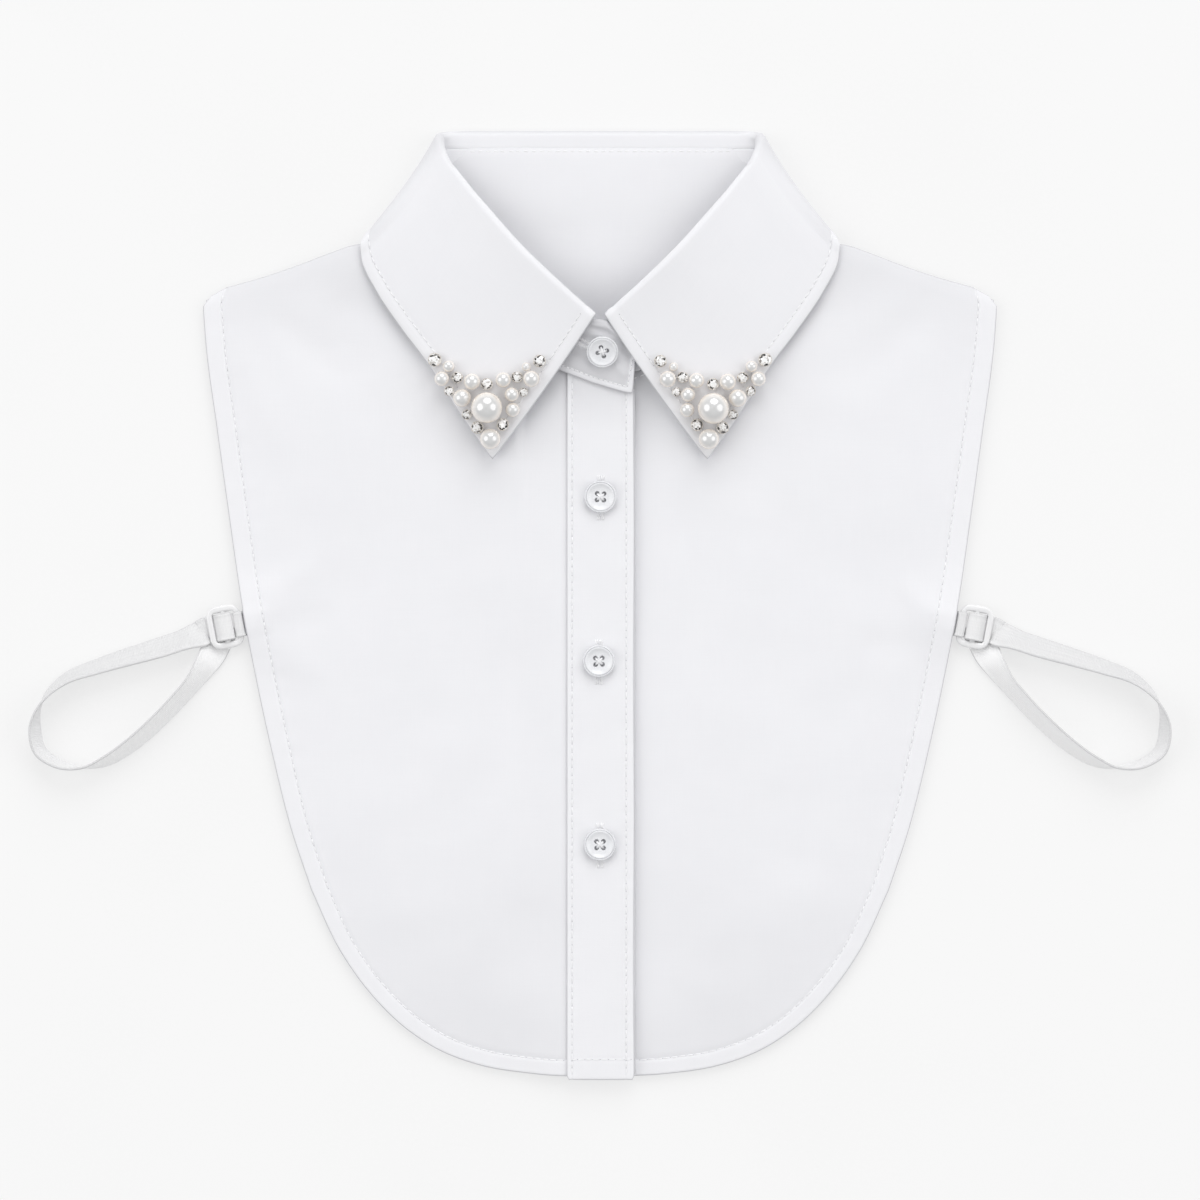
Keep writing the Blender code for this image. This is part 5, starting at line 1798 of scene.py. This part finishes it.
# share of the facets up to here, and the painted reflection that they send back
FACET_LIGHTS = (
    (0, (0.03, 0.029, 0.028)),
    (0.2, (0.22, 0.21, 0.20)),
    (0.32, (0.62, 0.60, 0.58)),
    (0.48, (0.96, 0.96, 0.96)),
)


def crystal_finish():
    finish, tree, shader = new_finish("foiled_crystal")
    foil = use_group(tree, FOIL, flat_cloth(tree))
    ramp = tree.nodes.new("ShaderNodeValToRGB")
    ramp.color_ramp.interpolation = "CONSTANT"
    stops = ramp.color_ramp.elements
    stops[0].position, stops[0].color = FACET_LIGHTS[0][0], (*FACET_LIGHTS[0][1], 1)
    stops[1].position, stops[1].color = FACET_LIGHTS[1][0], (*FACET_LIGHTS[1][1], 1)
    for share, light in FACET_LIGHTS[2:]:
        stops.new(share).color = (*light, 1)
    tree.links.new(foil.outputs["Light"], ramp.inputs[0])
    paint(tree, shader, ramp.outputs["Color"], foil.outputs["Light"], 0.04, 0.04)
    shader.inputs["Metallic"].default_value = 0.12
    shader.inputs["Coat Weight"].default_value = 1.0
    shader.inputs["Coat Roughness"].default_value = 0.02
    fine = noise(tree, object_place(tree), 2500.0, 2.0)
    relief(tree, shader, fine, 0.00001, 0.2)
    return finish


def silver_finish():
    finish, tree, shader = new_finish("setting_metal")
    plastic = use_group(tree, PLASTIC, object_place(tree), Scratches=1800.0)
    colour = between(tree, plastic.outputs["Cloud"], (0.66, 0.62, 0.57), (0.80, 0.77, 0.73))
    paint(tree, shader, colour, plastic.outputs["Wear"], 0.2, 0.18)
    shader.inputs["Metallic"].default_value = 1.0
    relief(tree, shader, plastic.outputs["Wear"], 0.00003, 0.4)
    return finish


CRYSTAL = crystal_finish()
SILVER = silver_finish()
print("crystal and metal ready")


# %% Cut stones
def cut_stone():
    """Points of a brilliant with radius 1 and its faces: table star, crown, girdle, underside."""

    def ring(count, radius, height, offset):
        turn = 2 * math.pi * (np.arange(count) + offset) / count
        return np.stack([radius * np.cos(turn), radius * np.sin(turn), 0 * turn + height], axis=1)

    rings = [
        [(0, 0, 0.47)],
        ring(8, 0.27, 0.47, 0.5),
        ring(8, 0.58, 0.45, 0.0),
        ring(8, 0.80, 0.30, 0.5),
        ring(16, 1.0, 0.07, 0.0),
        ring(16, 1.0, -0.05, 0.0),
        [(0, 0, -0.6)],
    ]
    first = np.cumsum([0] + [len(r) for r in rings])
    heart, star, table, middle, girdle, under, point = first[:7]
    faces = []
    for k in range(8):
        after = (k + 1) % 8
        before = (k - 1) % 8
        g = 2 * k
        faces += [
            (heart, star + k, star + after),
            (table + k, star + k, star + before),
            (star + k, table + k, table + after),
            (table + k, middle + k, table + after),
            (table + k, middle + before, girdle + g, middle + k),
            (middle + k, girdle + g, girdle + g + 1),
            (middle + k, girdle + g + 1, girdle + (g + 2) % 16),
        ]
    for k in range(16):
        after = (k + 1) % 16
        faces.append((girdle + k, under + k, under + after, girdle + after))
        faces.append((under + after, under + k, point))
    return np.concatenate(rings), faces


print("facets of a stone:", len(cut_stone()[1]))

# %% Stones in their cups
# set stones on each collar point: x, y, radius, turn in degrees
Stone = namedtuple("Stone", "x y radius turn")
STONES = (
    Stone(62.4, 92.9, 2.4, 10), Stone(53.8, 86.2, 2, 35), Stone(56.8, 81.2, 1.8, 5),
    Stone(42.6, 83.7, 2.1, 20), Stone(31.2, 86.3, 2, 0), Stone(22.7, 92.4, 2.2, 28),
    Stone(28.9, 80.7, 1.6, 15), Stone(50.2, 72.2, 1.8, 40), Stone(46.2, 67.3, 2.2, 12),
    Stone(36.3, 68.1, 2.2, 30),
)
# radius and height of the cup's wall, as shares of the stone's radius
CUP_PROFILE = ((0.7, -0.75), (0.95, -0.35), (1.07, -0.02), (1.09, 0.08), (1.04, 0.13), (0.99, 0.1))
CLAW_RADIUS = 0.17


def turned_to(normal, turn):
    facing = Vector((0, 0, 1)).rotation_difference(Vector(normal))
    spin = Matrix.Rotation(math.radians(turn), 3, "Z")
    return np.array(facing.to_matrix() @ spin)


def copies(points, faces, places):
    """A shape set in every place, as one list of points and one of faces."""
    joined = [points @ turn.T * radius + centre for centre, turn, radius in places]
    firsts = np.arange(len(places)) * len(points)
    numbered = [tuple(int(i + first) for i in face) for first in firsts for face in faces]
    return np.concatenate(joined), numbered


def set_stones(label, side):
    places, claws, claw_sizes = [], [], []
    for stone in STONES:
        normal = leaf_look(side * stone.x, stone.y)[1]
        centre = on_leaf(side * stone.x, stone.y, 0.75 * stone.radius + BEAD_GAP)
        turn = turned_to(normal, side * stone.turn)
        places.append((centre, turn, stone.radius))
        for k in range(4):
            angle = math.radians(45 + 90 * k)
            claw = np.array([math.cos(angle) * 0.97, math.sin(angle) * 0.97, 0.15])
            claws.append(claw @ turn.T * stone.radius + centre)
            claw_sizes.append(CLAW_RADIUS * stone.radius)
    shape, facets = cut_stone()
    points, stone_faces = copies(shape, facets, places)
    stones = new_object(
        f"stones_{label}", points, stone_faces, points[:, :2], CRYSTAL, smooth=False
    )
    random = np.random.default_rng(300 + int(side))
    # painted reflection: the table is mostly light, and the dark facets sit round it: 7 faces in
    # each eighth
    darkest = np.tile([0.5, 0.34, 0.3, 0.22, 0.0, 0.0, 0.0], 8)
    darkest = np.tile(np.concatenate([darkest, np.full(len(facets) - 56, 0.2)]), len(STONES))
    lights = darkest + (0.95 - darkest) * random.uniform(0, 1, len(darkest)) ** 1.6
    corners = [len(face) for face in stone_faces]
    numbers = np.arange(len(lights))
    pairs = np.stack([np.repeat(lights, corners), np.repeat(numbers, corners)], axis=1)
    stones.data.uv_layers[0].uv.foreach_set("vector", pairs.astype(np.float32).ravel())
    cup_points, cup_faces = spun(CUP_PROFILE, 24, -0.75, 0.0)
    cup_points, cup_faces = copies(np.array(cup_points), cup_faces, places)
    settings = new_object(f"cups_{label}", cup_points, cup_faces, cup_points[:, :2], SILVER)
    claw_set = balls(f"claws_{label}", claws, claw_sizes, SILVER)


for label, side in SIDES:
    set_stones(label, side)
print("stones on each point:", len(STONES))

# %% [markdown]
# ## Ribbed elastic
#
# The loops are narrow lingerie elastic: rubber cores run along it, a satin weft crosses them as
# fine ribs, and both edges end in a closer selvage. So the group has ribs across, a few soft lines
# along, and a mask for the edges. The map holds metres along and across, so ribs keep their
# spacing when the band twists.


# %% Elastic finish
def elastic_group():
    values = {"Ribs a metre": 1700.0, "Cores a metre": 900.0}
    group, given, out = new_group("Ribbed elastic", "Along and across", values, ("Height", "Tone"))
    place = given.outputs["Along and across"]
    along, across, _ = split(group, place)
    wobble = noise(group, stretched(group, place, (120.0, 500.0, 1.0)), 1.0, 2.0)
    rib_turn = calculate(group, "MULTIPLY", given.outputs["Ribs a metre"], 2 * math.pi)
    wobble = calculate(group, "MULTIPLY", wobble, 3.0)
    phase = calculate(group, "MULTIPLY_ADD", along, rib_turn, wobble)
    ribs = calculate(group, "SINE", phase)
    core_turn = calculate(group, "MULTIPLY", given.outputs["Cores a metre"], 2 * math.pi)
    cores = calculate(group, "COSINE", calculate(group, "MULTIPLY", across, core_turn))
    height = calculate(group, "MULTIPLY_ADD", cores, 0.08, ribs)
    streaks = noise(group, stretched(group, place, (30.0, 1400.0, 1.0)), 1.0, 3.0)
    tone = calculate(group, "MULTIPLY_ADD", cores, 0.015, streaks)
    tone = calculate(group, "MULTIPLY_ADD", ribs, 0.06, tone)
    give_out(group, out, Height=height, Tone=tone)
    return group


RIBBED = elastic_group()


def elastic_finish():
    finish, tree, shader = new_finish("white_elastic")
    ribbed = use_group(tree, RIBBED, flat_cloth(tree))
    colour = between(tree, ribbed.outputs["Tone"], (0.63, 0.63, 0.638), (0.70, 0.70, 0.706))
    # painted light: whiter where the attribute says, along the band's length
    colour = shifted(tree, colour, read_doubled_and_painted_light(tree), (0.93, 0.93, 0.935))
    paint(tree, shader, colour, ribbed.outputs["Tone"], 0.2, 0.36)
    shader.inputs["Sheen Weight"].default_value = 0.2
    shader.inputs["Sheen Roughness"].default_value = 0.4
    relief(tree, shader, ribbed.outputs["Height"], 0.00006, 0.6)
    return finish


ELASTIC = elastic_finish()
print("elastic ready")

# %% [markdown]
# ## Where the elastic runs
#
# A loop leaves the slider, turns back at the side and comes in under it again. As it lies there it
# twists: flat at the slider, on edge at the far turn. Its marks give the place and the lean from
# flat. Over the slider's middle bar the band has its own marks in the slider's plane, and so has
# the short tab that holds the slider's inner bar and disappears below the front's hem.

# %% Elastic paths
STRAP_WIDTH = 10.4
STRAP_WALL = 1.0
TAB_WALL = 0.8
STRAP_CLEAR = 0.12
# length along a band, and how much whiter it is painted there, as painted light
WHITER_ALONG = ((14.0, 0.45), (24.0, 0.1), (74.0, 0.05), (90.0, 0.3), (112.0, 0.4), (128.0, 0.9))

# x, y, lean of the band from flat
STRAP_LOOP = (
    (151.4, -10.9, 14), (156, -12.5, 36), (166.4, -16, 43), (178.6, -19.6, 50),
    (190.8, -23.4, 58), (202.9, -28.1, 68), (209, -33.1, 78), (212.6, -38.4, 90),
    (214.3, -47, 110), (212.4, -55.3, 112), (206, -60, 106), (196.8, -61.7, 91),
    (187.7, -59.3, 70), (178.6, -53.6, 62), (169.5, -45.8, 59), (160.4, -36.5, 58),
    (153.6, -28.6, 53), (149.6, -22.6, 34), (146.6, -17.6, 8),
)
# across the slider, height
STRAP_WRAP = (
    (-0.6, 1.65), (1.3, 1.75), (2.5, 2.5), (2.5, 3.9), (1.5, 4.8), (0, 5.05), (-1.6, 4.7),
    (-2.9, 3.6), (-4.2, 2.3), (-5.6, 1.75), (-7.2, 1.7),
)
STRAP_UNDER_END = ((143.6, -11.4), (141.4, -7.6))
TAB_PATH = (
    (19, 1.9), (12, 1.9), (8.5, 1.9), (5.6, 1.75), (4.1, 2.1), (3.75, 3.1), (4.2, 4.3),
    (5.5, 4.75), (6.6, 4.5), (7.2, 3.2),
)


def slider_plane():
    """Origin, across and along directions of the right slider, seen from above."""
    turn = math.radians(SLIDER_TURN)
    across = np.array([-math.cos(turn), math.sin(turn), 0.0])
    along = np.array([math.sin(turn), math.cos(turn), 0.0])
    return np.array([*SLIDER_CENTRE, 0.0]), across, along


def wrapped(path):
    origin, across, _ = slider_plane()
    return np.array([origin + across * a + np.array([0.0, 0.0, z]) for a, z in path])


def strap_rows():
    """Place and width direction at the marks of the whole loop."""
    along = slider_plane()[2]
    wrap = wrapped(STRAP_WRAP)
    free = np.array([*STRAP_LOOP, *[(*place, 0.0) for place in STRAP_UNDER_END]], float)
    heading = unit(np.gradient(free[:, :2], axis=0))
    inside = np.stack([heading[:, 1], -heading[:, 0]], axis=1)
    lean = np.radians(free[:, 2])[:, None]
    widths = np.concatenate([inside * np.cos(lean), np.sin(lean)], axis=1)
    height = STRAP_WIDTH / 2 * np.abs(np.sin(lean)) + STRAP_WALL / 2 * np.abs(np.cos(lean))
    height[0] = max(height[0, 0], STRAP_WRAP[0][1])
    centres = np.concatenate([free[:, :2], height + STRAP_CLEAR], axis=1)
    over_bar = np.concatenate([wrap, 0 * wrap - along], axis=1)
    return np.concatenate([over_bar, np.concatenate([centres, widths], axis=1)])


print("marks along a loop:", len(strap_rows()))


# %% Elastic bands
def elastic_band(name, centres, widths, width, thickness, side, columns=16):
    """A band along the centres, whiter by painted light along parts of its length, for the right
    side and mirrored.
    """
    headings = unit(np.gradient(centres, axis=0))
    widths = unit(widths - headings * (widths * headings).sum(axis=1, keepdims=True))
    faces_up = unit(np.cross(headings, widths))
    share = 0.5 - 0.5 * np.cos(np.linspace(0, math.pi, columns + 1))
    offset = (share - 0.5) * (width - thickness)
    edge = width / 2 - np.abs(offset)
    half = thickness / 2 * (0.86 + 0.2 * bump_at(edge, 0.7, 0.45) - 0.16 * bump_at(edge, 1.6, 0.4))
    grid = centres[:, None] + widths[:, None] * offset[None, :, None]
    run = lengths_along(centres)
    fold = 0.05 * swell(run, 0 * run, 9, 200)[:, None] * soft_step(edge, 0.5, 2.5)[None]
    push = faces_up[:, None] * half[None, :, None]
    grid = grid + faces_up[:, None] * fold[..., None]
    flip = np.array([side, 1.0, 1.0])
    uv = np.stack([run[:, None] + 0 * offset[None], 0 * run[:, None] + offset[None]], -1) * MM
    # painted light, set along the band's length
    whiter = np.interp(run, *zip(*WHITER_ALONG))[:, None] + 0 * offset[None]
    band = cloth_grid(name, (grid + push) * flip, (grid - push) * flip, uv, ELASTIC, whiter)
    return band, run[-1]


for label, side in SIDES:
    rows = strap_rows()
    rows = curve_through(rows, np.linspace(0, len(rows) - 1, 9 * len(rows)))
    strap, strap_length = elastic_band(
        f"elastic_loop_{label}", rows[:, :3], rows[:, 3:], STRAP_WIDTH, STRAP_WALL, side
    )
    path = wrapped(TAB_PATH)
    path = curve_through(path, np.linspace(0, len(path) - 1, 8 * len(path)))
    across_tab = np.repeat(slider_plane()[2][None], len(path), axis=0)
    tab, tab_length = elastic_band(
        f"elastic_tab_{label}", path, across_tab, TAB_WIDTH, TAB_WALL, side
    )
    for piece, node in ((strap, f"strap_{label}"), (tab, f"tab_{label}")):
        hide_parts(node)
print("loop", round(strap_length, 1), "mm long, tab", round(tab_length, 1), "mm long")

# %% [markdown]
# ## Sliders
#
# A slider is one small moulding: a rounded frame with a middle bar. Its outer edge has a large
# corner radius and its two slots a small one, so each station round the frame joins a point of
# the outer line to one of the inner line with an oval section. The middle bar is a rounded rod,
# whose ends show as small bumps on the frame.

# %% Slider sizes
SLIDER_SIZE = (13.0, 16.4)
SLIDER_BAR = 2.25
SLIDER_CORNER = 4.2
SLOT_CORNER = 1.1
SLIDER_MIDDLE = 3.3
SLIDER_HALF_THICKNESS = 0.82
MIDDLE_BAR = (1.15, 0.78)


def rounded_loop(half_wide, half_high, radius, corner=9, side=6):
    """A rounded rectangle with the same number of points whatever its corner radius."""

    def corner_point(quarter, share):
        sx, sy = ((1, 1), (-1, 1), (-1, -1), (1, -1))[quarter % 4]
        centre = np.array([sx * (half_wide - radius), sy * (half_high - radius)])
        turn = math.radians(90 * (quarter + share))
        return centre + radius * np.array([math.cos(turn), math.sin(turn)])

    loop = []
    for quarter in range(4):
        loop += [corner_point(quarter, k / (corner - 1)) for k in range(corner)]
        last, after = loop[-1], corner_point(quarter + 1, 0)
        loop += [last + (after - last) * k / side for k in range(1, side)]
    return np.array(loop)


print("points round a slider:", len(rounded_loop(6.5, 8.2, SLIDER_CORNER)))


# %% Sliders
def slider_shape(sections=14):
    """Points and faces of the frame and the bar, in the slider's plane."""
    half_x, half_y = SLIDER_SIZE[0] / 2, SLIDER_SIZE[1] / 2
    outer = rounded_loop(half_x, half_y, SLIDER_CORNER)
    inner = rounded_loop(half_x - SLIDER_BAR, half_y - SLIDER_BAR * 1.15, SLOT_CORNER)
    middle, half = (outer + inner) / 2, (outer - inner) / 2
    turn = 2 * math.pi * np.arange(sections) / sections
    bulge = np.sign(np.cos(turn)) * np.abs(np.cos(turn)) ** 0.75
    rise = np.sign(np.sin(turn)) * np.abs(np.sin(turn)) ** 0.75 * SLIDER_HALF_THICKNESS
    ring = middle[:, None] + half[:, None] * bulge[None, :, None]
    points = np.concatenate([ring, 0 * ring[..., :1] + rise[None, :, None]], axis=-1)
    stations = len(outer)
    faces = []
    for k in range(stations):
        for j in range(sections):
            after = (k + 1) % stations * sections
            up = (j + 1) % sections
            faces.append((k * sections + j, after + j, after + up, k * sections + up))
    points = points.reshape(-1, 3)
    wide, thick, along = BALL.T
    along = np.sign(along) * np.clip(np.abs(along), 0, 1) ** 0.5 * (half_y + 0.5)
    rod = np.stack([wide * MIDDLE_BAR[0], along, thick * MIDDLE_BAR[1]], axis=-1)
    faces += (BALL_QUADS + len(points)).tolist()
    return np.concatenate([points, rod]), faces


def slider(label, side):
    origin, across, along = slider_plane()
    shape, faces = slider_shape()
    flip = np.array([side, 1.0, 1.0])
    up = np.array([0.0, 0.0, 1.0])
    base = origin + up * SLIDER_MIDDLE
    points = base + shape[:, :1] * across + shape[:, 1:2] * along + shape[:, 2:] * up
    obj = new_object(
        f"moulded_slider_{label}", points * flip, faces, shape[:, :2] * MM, SLIDER_WHITE
    )
    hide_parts(f"slider_{label}")
    return obj


for label, side in SIDES:
    obj = slider(label, side)
print("slider", [round(v / MM, 1) for v in obj.dimensions])

# %% [markdown]
# ## What was cut
#
# The cut size of each cloth piece is worked out and printed. The panels and the collar carry their
# flat cut in their map, in metres, and the bands are plain rectangles: length along the path by
# width.
# The turnings inside the hems come on top of this.


# %% Cut sizes
def cut_size(obj):
    """Width and length of the flat cut, and its area, in metres."""
    layer = obj.data.uv_layers["flat_cloth"].uv
    places = np.zeros(len(layer) * 2, np.float32)
    layer.foreach_get("vector", places)
    width, length = (float(v) for v in np.ptp(places.reshape(-1, 2), axis=0))
    one_side = sum(face.area for face in obj.data.polygons) / 2
    return (width, length), min(one_side, width * length)


def sewn_on(*names):
    """The named rows of thread and their needle holes."""
    found = []
    for name in names:
        found += [bpy.data.objects[n] for n in (name, name + "_holes") if n in bpy.data.objects]
    return found


BAND_HOLES = [f"buttonhole_{number}" for number in (2, 3, 4)]
# piece, how it is held, what it lies on, and the sewing that goes with it
CLOTH_LAYERS = (
    (cloth_back, "laid", "floor", ("back_stitches",)),
    (cloth_right, "laid", "cloth_back", ("lower_neck_stitches",)),
    (cloth_left, "laid", "cloth_front_right", ("hem_stitches",)),
    (cloth_band, "folded", "cloth_front_left", ("band_stitches", *BAND_HOLES)),
    (cloth_stand, "folded", "cloth_front_left", ("stand_stitches", "buttonhole_1")),
    (cloth_leaf, "folded", "cloth_front_left", ("leaf_stitches",)),
)
for obj, held, below, rows in CLOTH_LAYERS:
    flat, area = cut_size(obj)
    sewn_on(*rows)
    print(obj.name, "cut", [round(v, 3) for v in flat], "m, area", round(area, 4), "m2")
for label in ("left", "right"):
    loop, tab = (bpy.data.objects[f"elastic_{kind}_{label}"] for kind in ("loop", "tab"))

# %% [markdown]
# ## Table and light
#
# The garment lies on a milky table that is also lit a little from inside, as for a catalogue, so
# that shadows stay thin. Three large round lamps stand well above it, left, right and behind the
# collar, and the room adds an even fill. The strongest comes from behind, so the leaf shades the
# stand. The camera looks straight down from 2.5 m, far enough to keep the outline true.


# %% Table
def table_group():
    group, given, out = new_group("Milky grain", "Place", {}, ("Height", "Tone"))
    grain = noise(group, given.outputs["Place"], 700.0, 4.0)
    cloud = noise(group, given.outputs["Place"], 9.0, 2.0)
    tone = calculate(group, "MULTIPLY_ADD", grain, 0.5, cloud)
    give_out(group, out, Height=grain, Tone=tone)
    return group


def table_finish():
    finish, tree, shader = new_finish("milky_table")
    grain = use_group(tree, table_group(), object_place(tree))
    colour = between(tree, grain.outputs["Tone"], (0.29, 0.29, 0.29), (0.31, 0.31, 0.31))
    paint(tree, shader, colour, grain.outputs["Tone"], 0.05, 0.86)
    shader.inputs["Emission Color"].default_value = (1.0, 1.0, 1.0, 1.0)
    shader.inputs["Emission Strength"].default_value = TABLE_GLOW
    relief(tree, shader, grain.outputs["Height"], 0.00003, 0.3)
    return finish


TABLE_GLOW = 0.587
floor_mesh = bpy.data.meshes.new("floor")
floor_mesh.from_pydata([(-4, -4, 0), (4, -4, 0), (4, 4, 0), (-4, 4, 0)], [], [(0, 1, 2, 3)])
floor_mesh.materials.append(table_finish())
floor = add_object("floor", floor_mesh)
floor.location.z = -0.0002
print("table", [round(v, 1) for v in floor.dimensions], "m")


# %% Lamps, room and camera
LAMP_DISTANCE = 6.0
LAMP_SIZE = 5.2


def softbox(name, turn, rise, watts):
    """A round lamp that faces the origin, from this compass turn and height in degrees."""
    data = bpy.data.lights.new(name, "AREA")
    data.shape = "DISK"
    data.size = LAMP_SIZE
    data.energy = watts
    lamp = add_object(name, data)
    turn, rise = math.radians(turn), math.radians(rise)
    place = Vector(
        (math.cos(rise) * math.cos(turn), math.cos(rise) * math.sin(turn), math.sin(rise))
    )
    lamp.location = place * LAMP_DISTANCE
    lamp.rotation_euler = (-place).to_track_quat("-Z", "Y").to_euler()


softbox("softbox_left", 175, 38, 100)
softbox("softbox_right", 5, 38, 86)
softbox("softbox_top", 84, 36, 165)
world = bpy.data.worlds.new("studio")
world.use_nodes = True
fill = world.node_tree.nodes["Background"]
fill.inputs["Color"].default_value = (1, 1, 1, 1)
fill.inputs["Strength"].default_value = 0.6
bpy.context.scene.world = world
bpy.context.scene.view_settings.view_transform = "Standard"

VIEW_WIDTH = 0.456
CAMERA_HEIGHT = 2.5
camera = add_object("camera", bpy.data.cameras.new("camera"))
camera.location = (0.0, 0.0019, CAMERA_HEIGHT)
camera.data.lens = camera.data.sensor_width * CAMERA_HEIGHT / VIEW_WIDTH
camera.data.clip_end = 20
bpy.context.scene.camera = camera
print("lens", round(camera.data.lens, 1), "mm")

# %% Sizes and end
triangles = {}
for obj in bpy.context.scene.objects:
    if obj.type == "MESH" and "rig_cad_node" not in obj and obj != floor:
        triangles[obj.name] = sum(len(face.vertices) - 2 for face in obj.data.polygons)
largest = max(triangles, key=triangles.get)
print("triangles in all:", sum(triangles.values()), "most in", largest, triangles[largest])
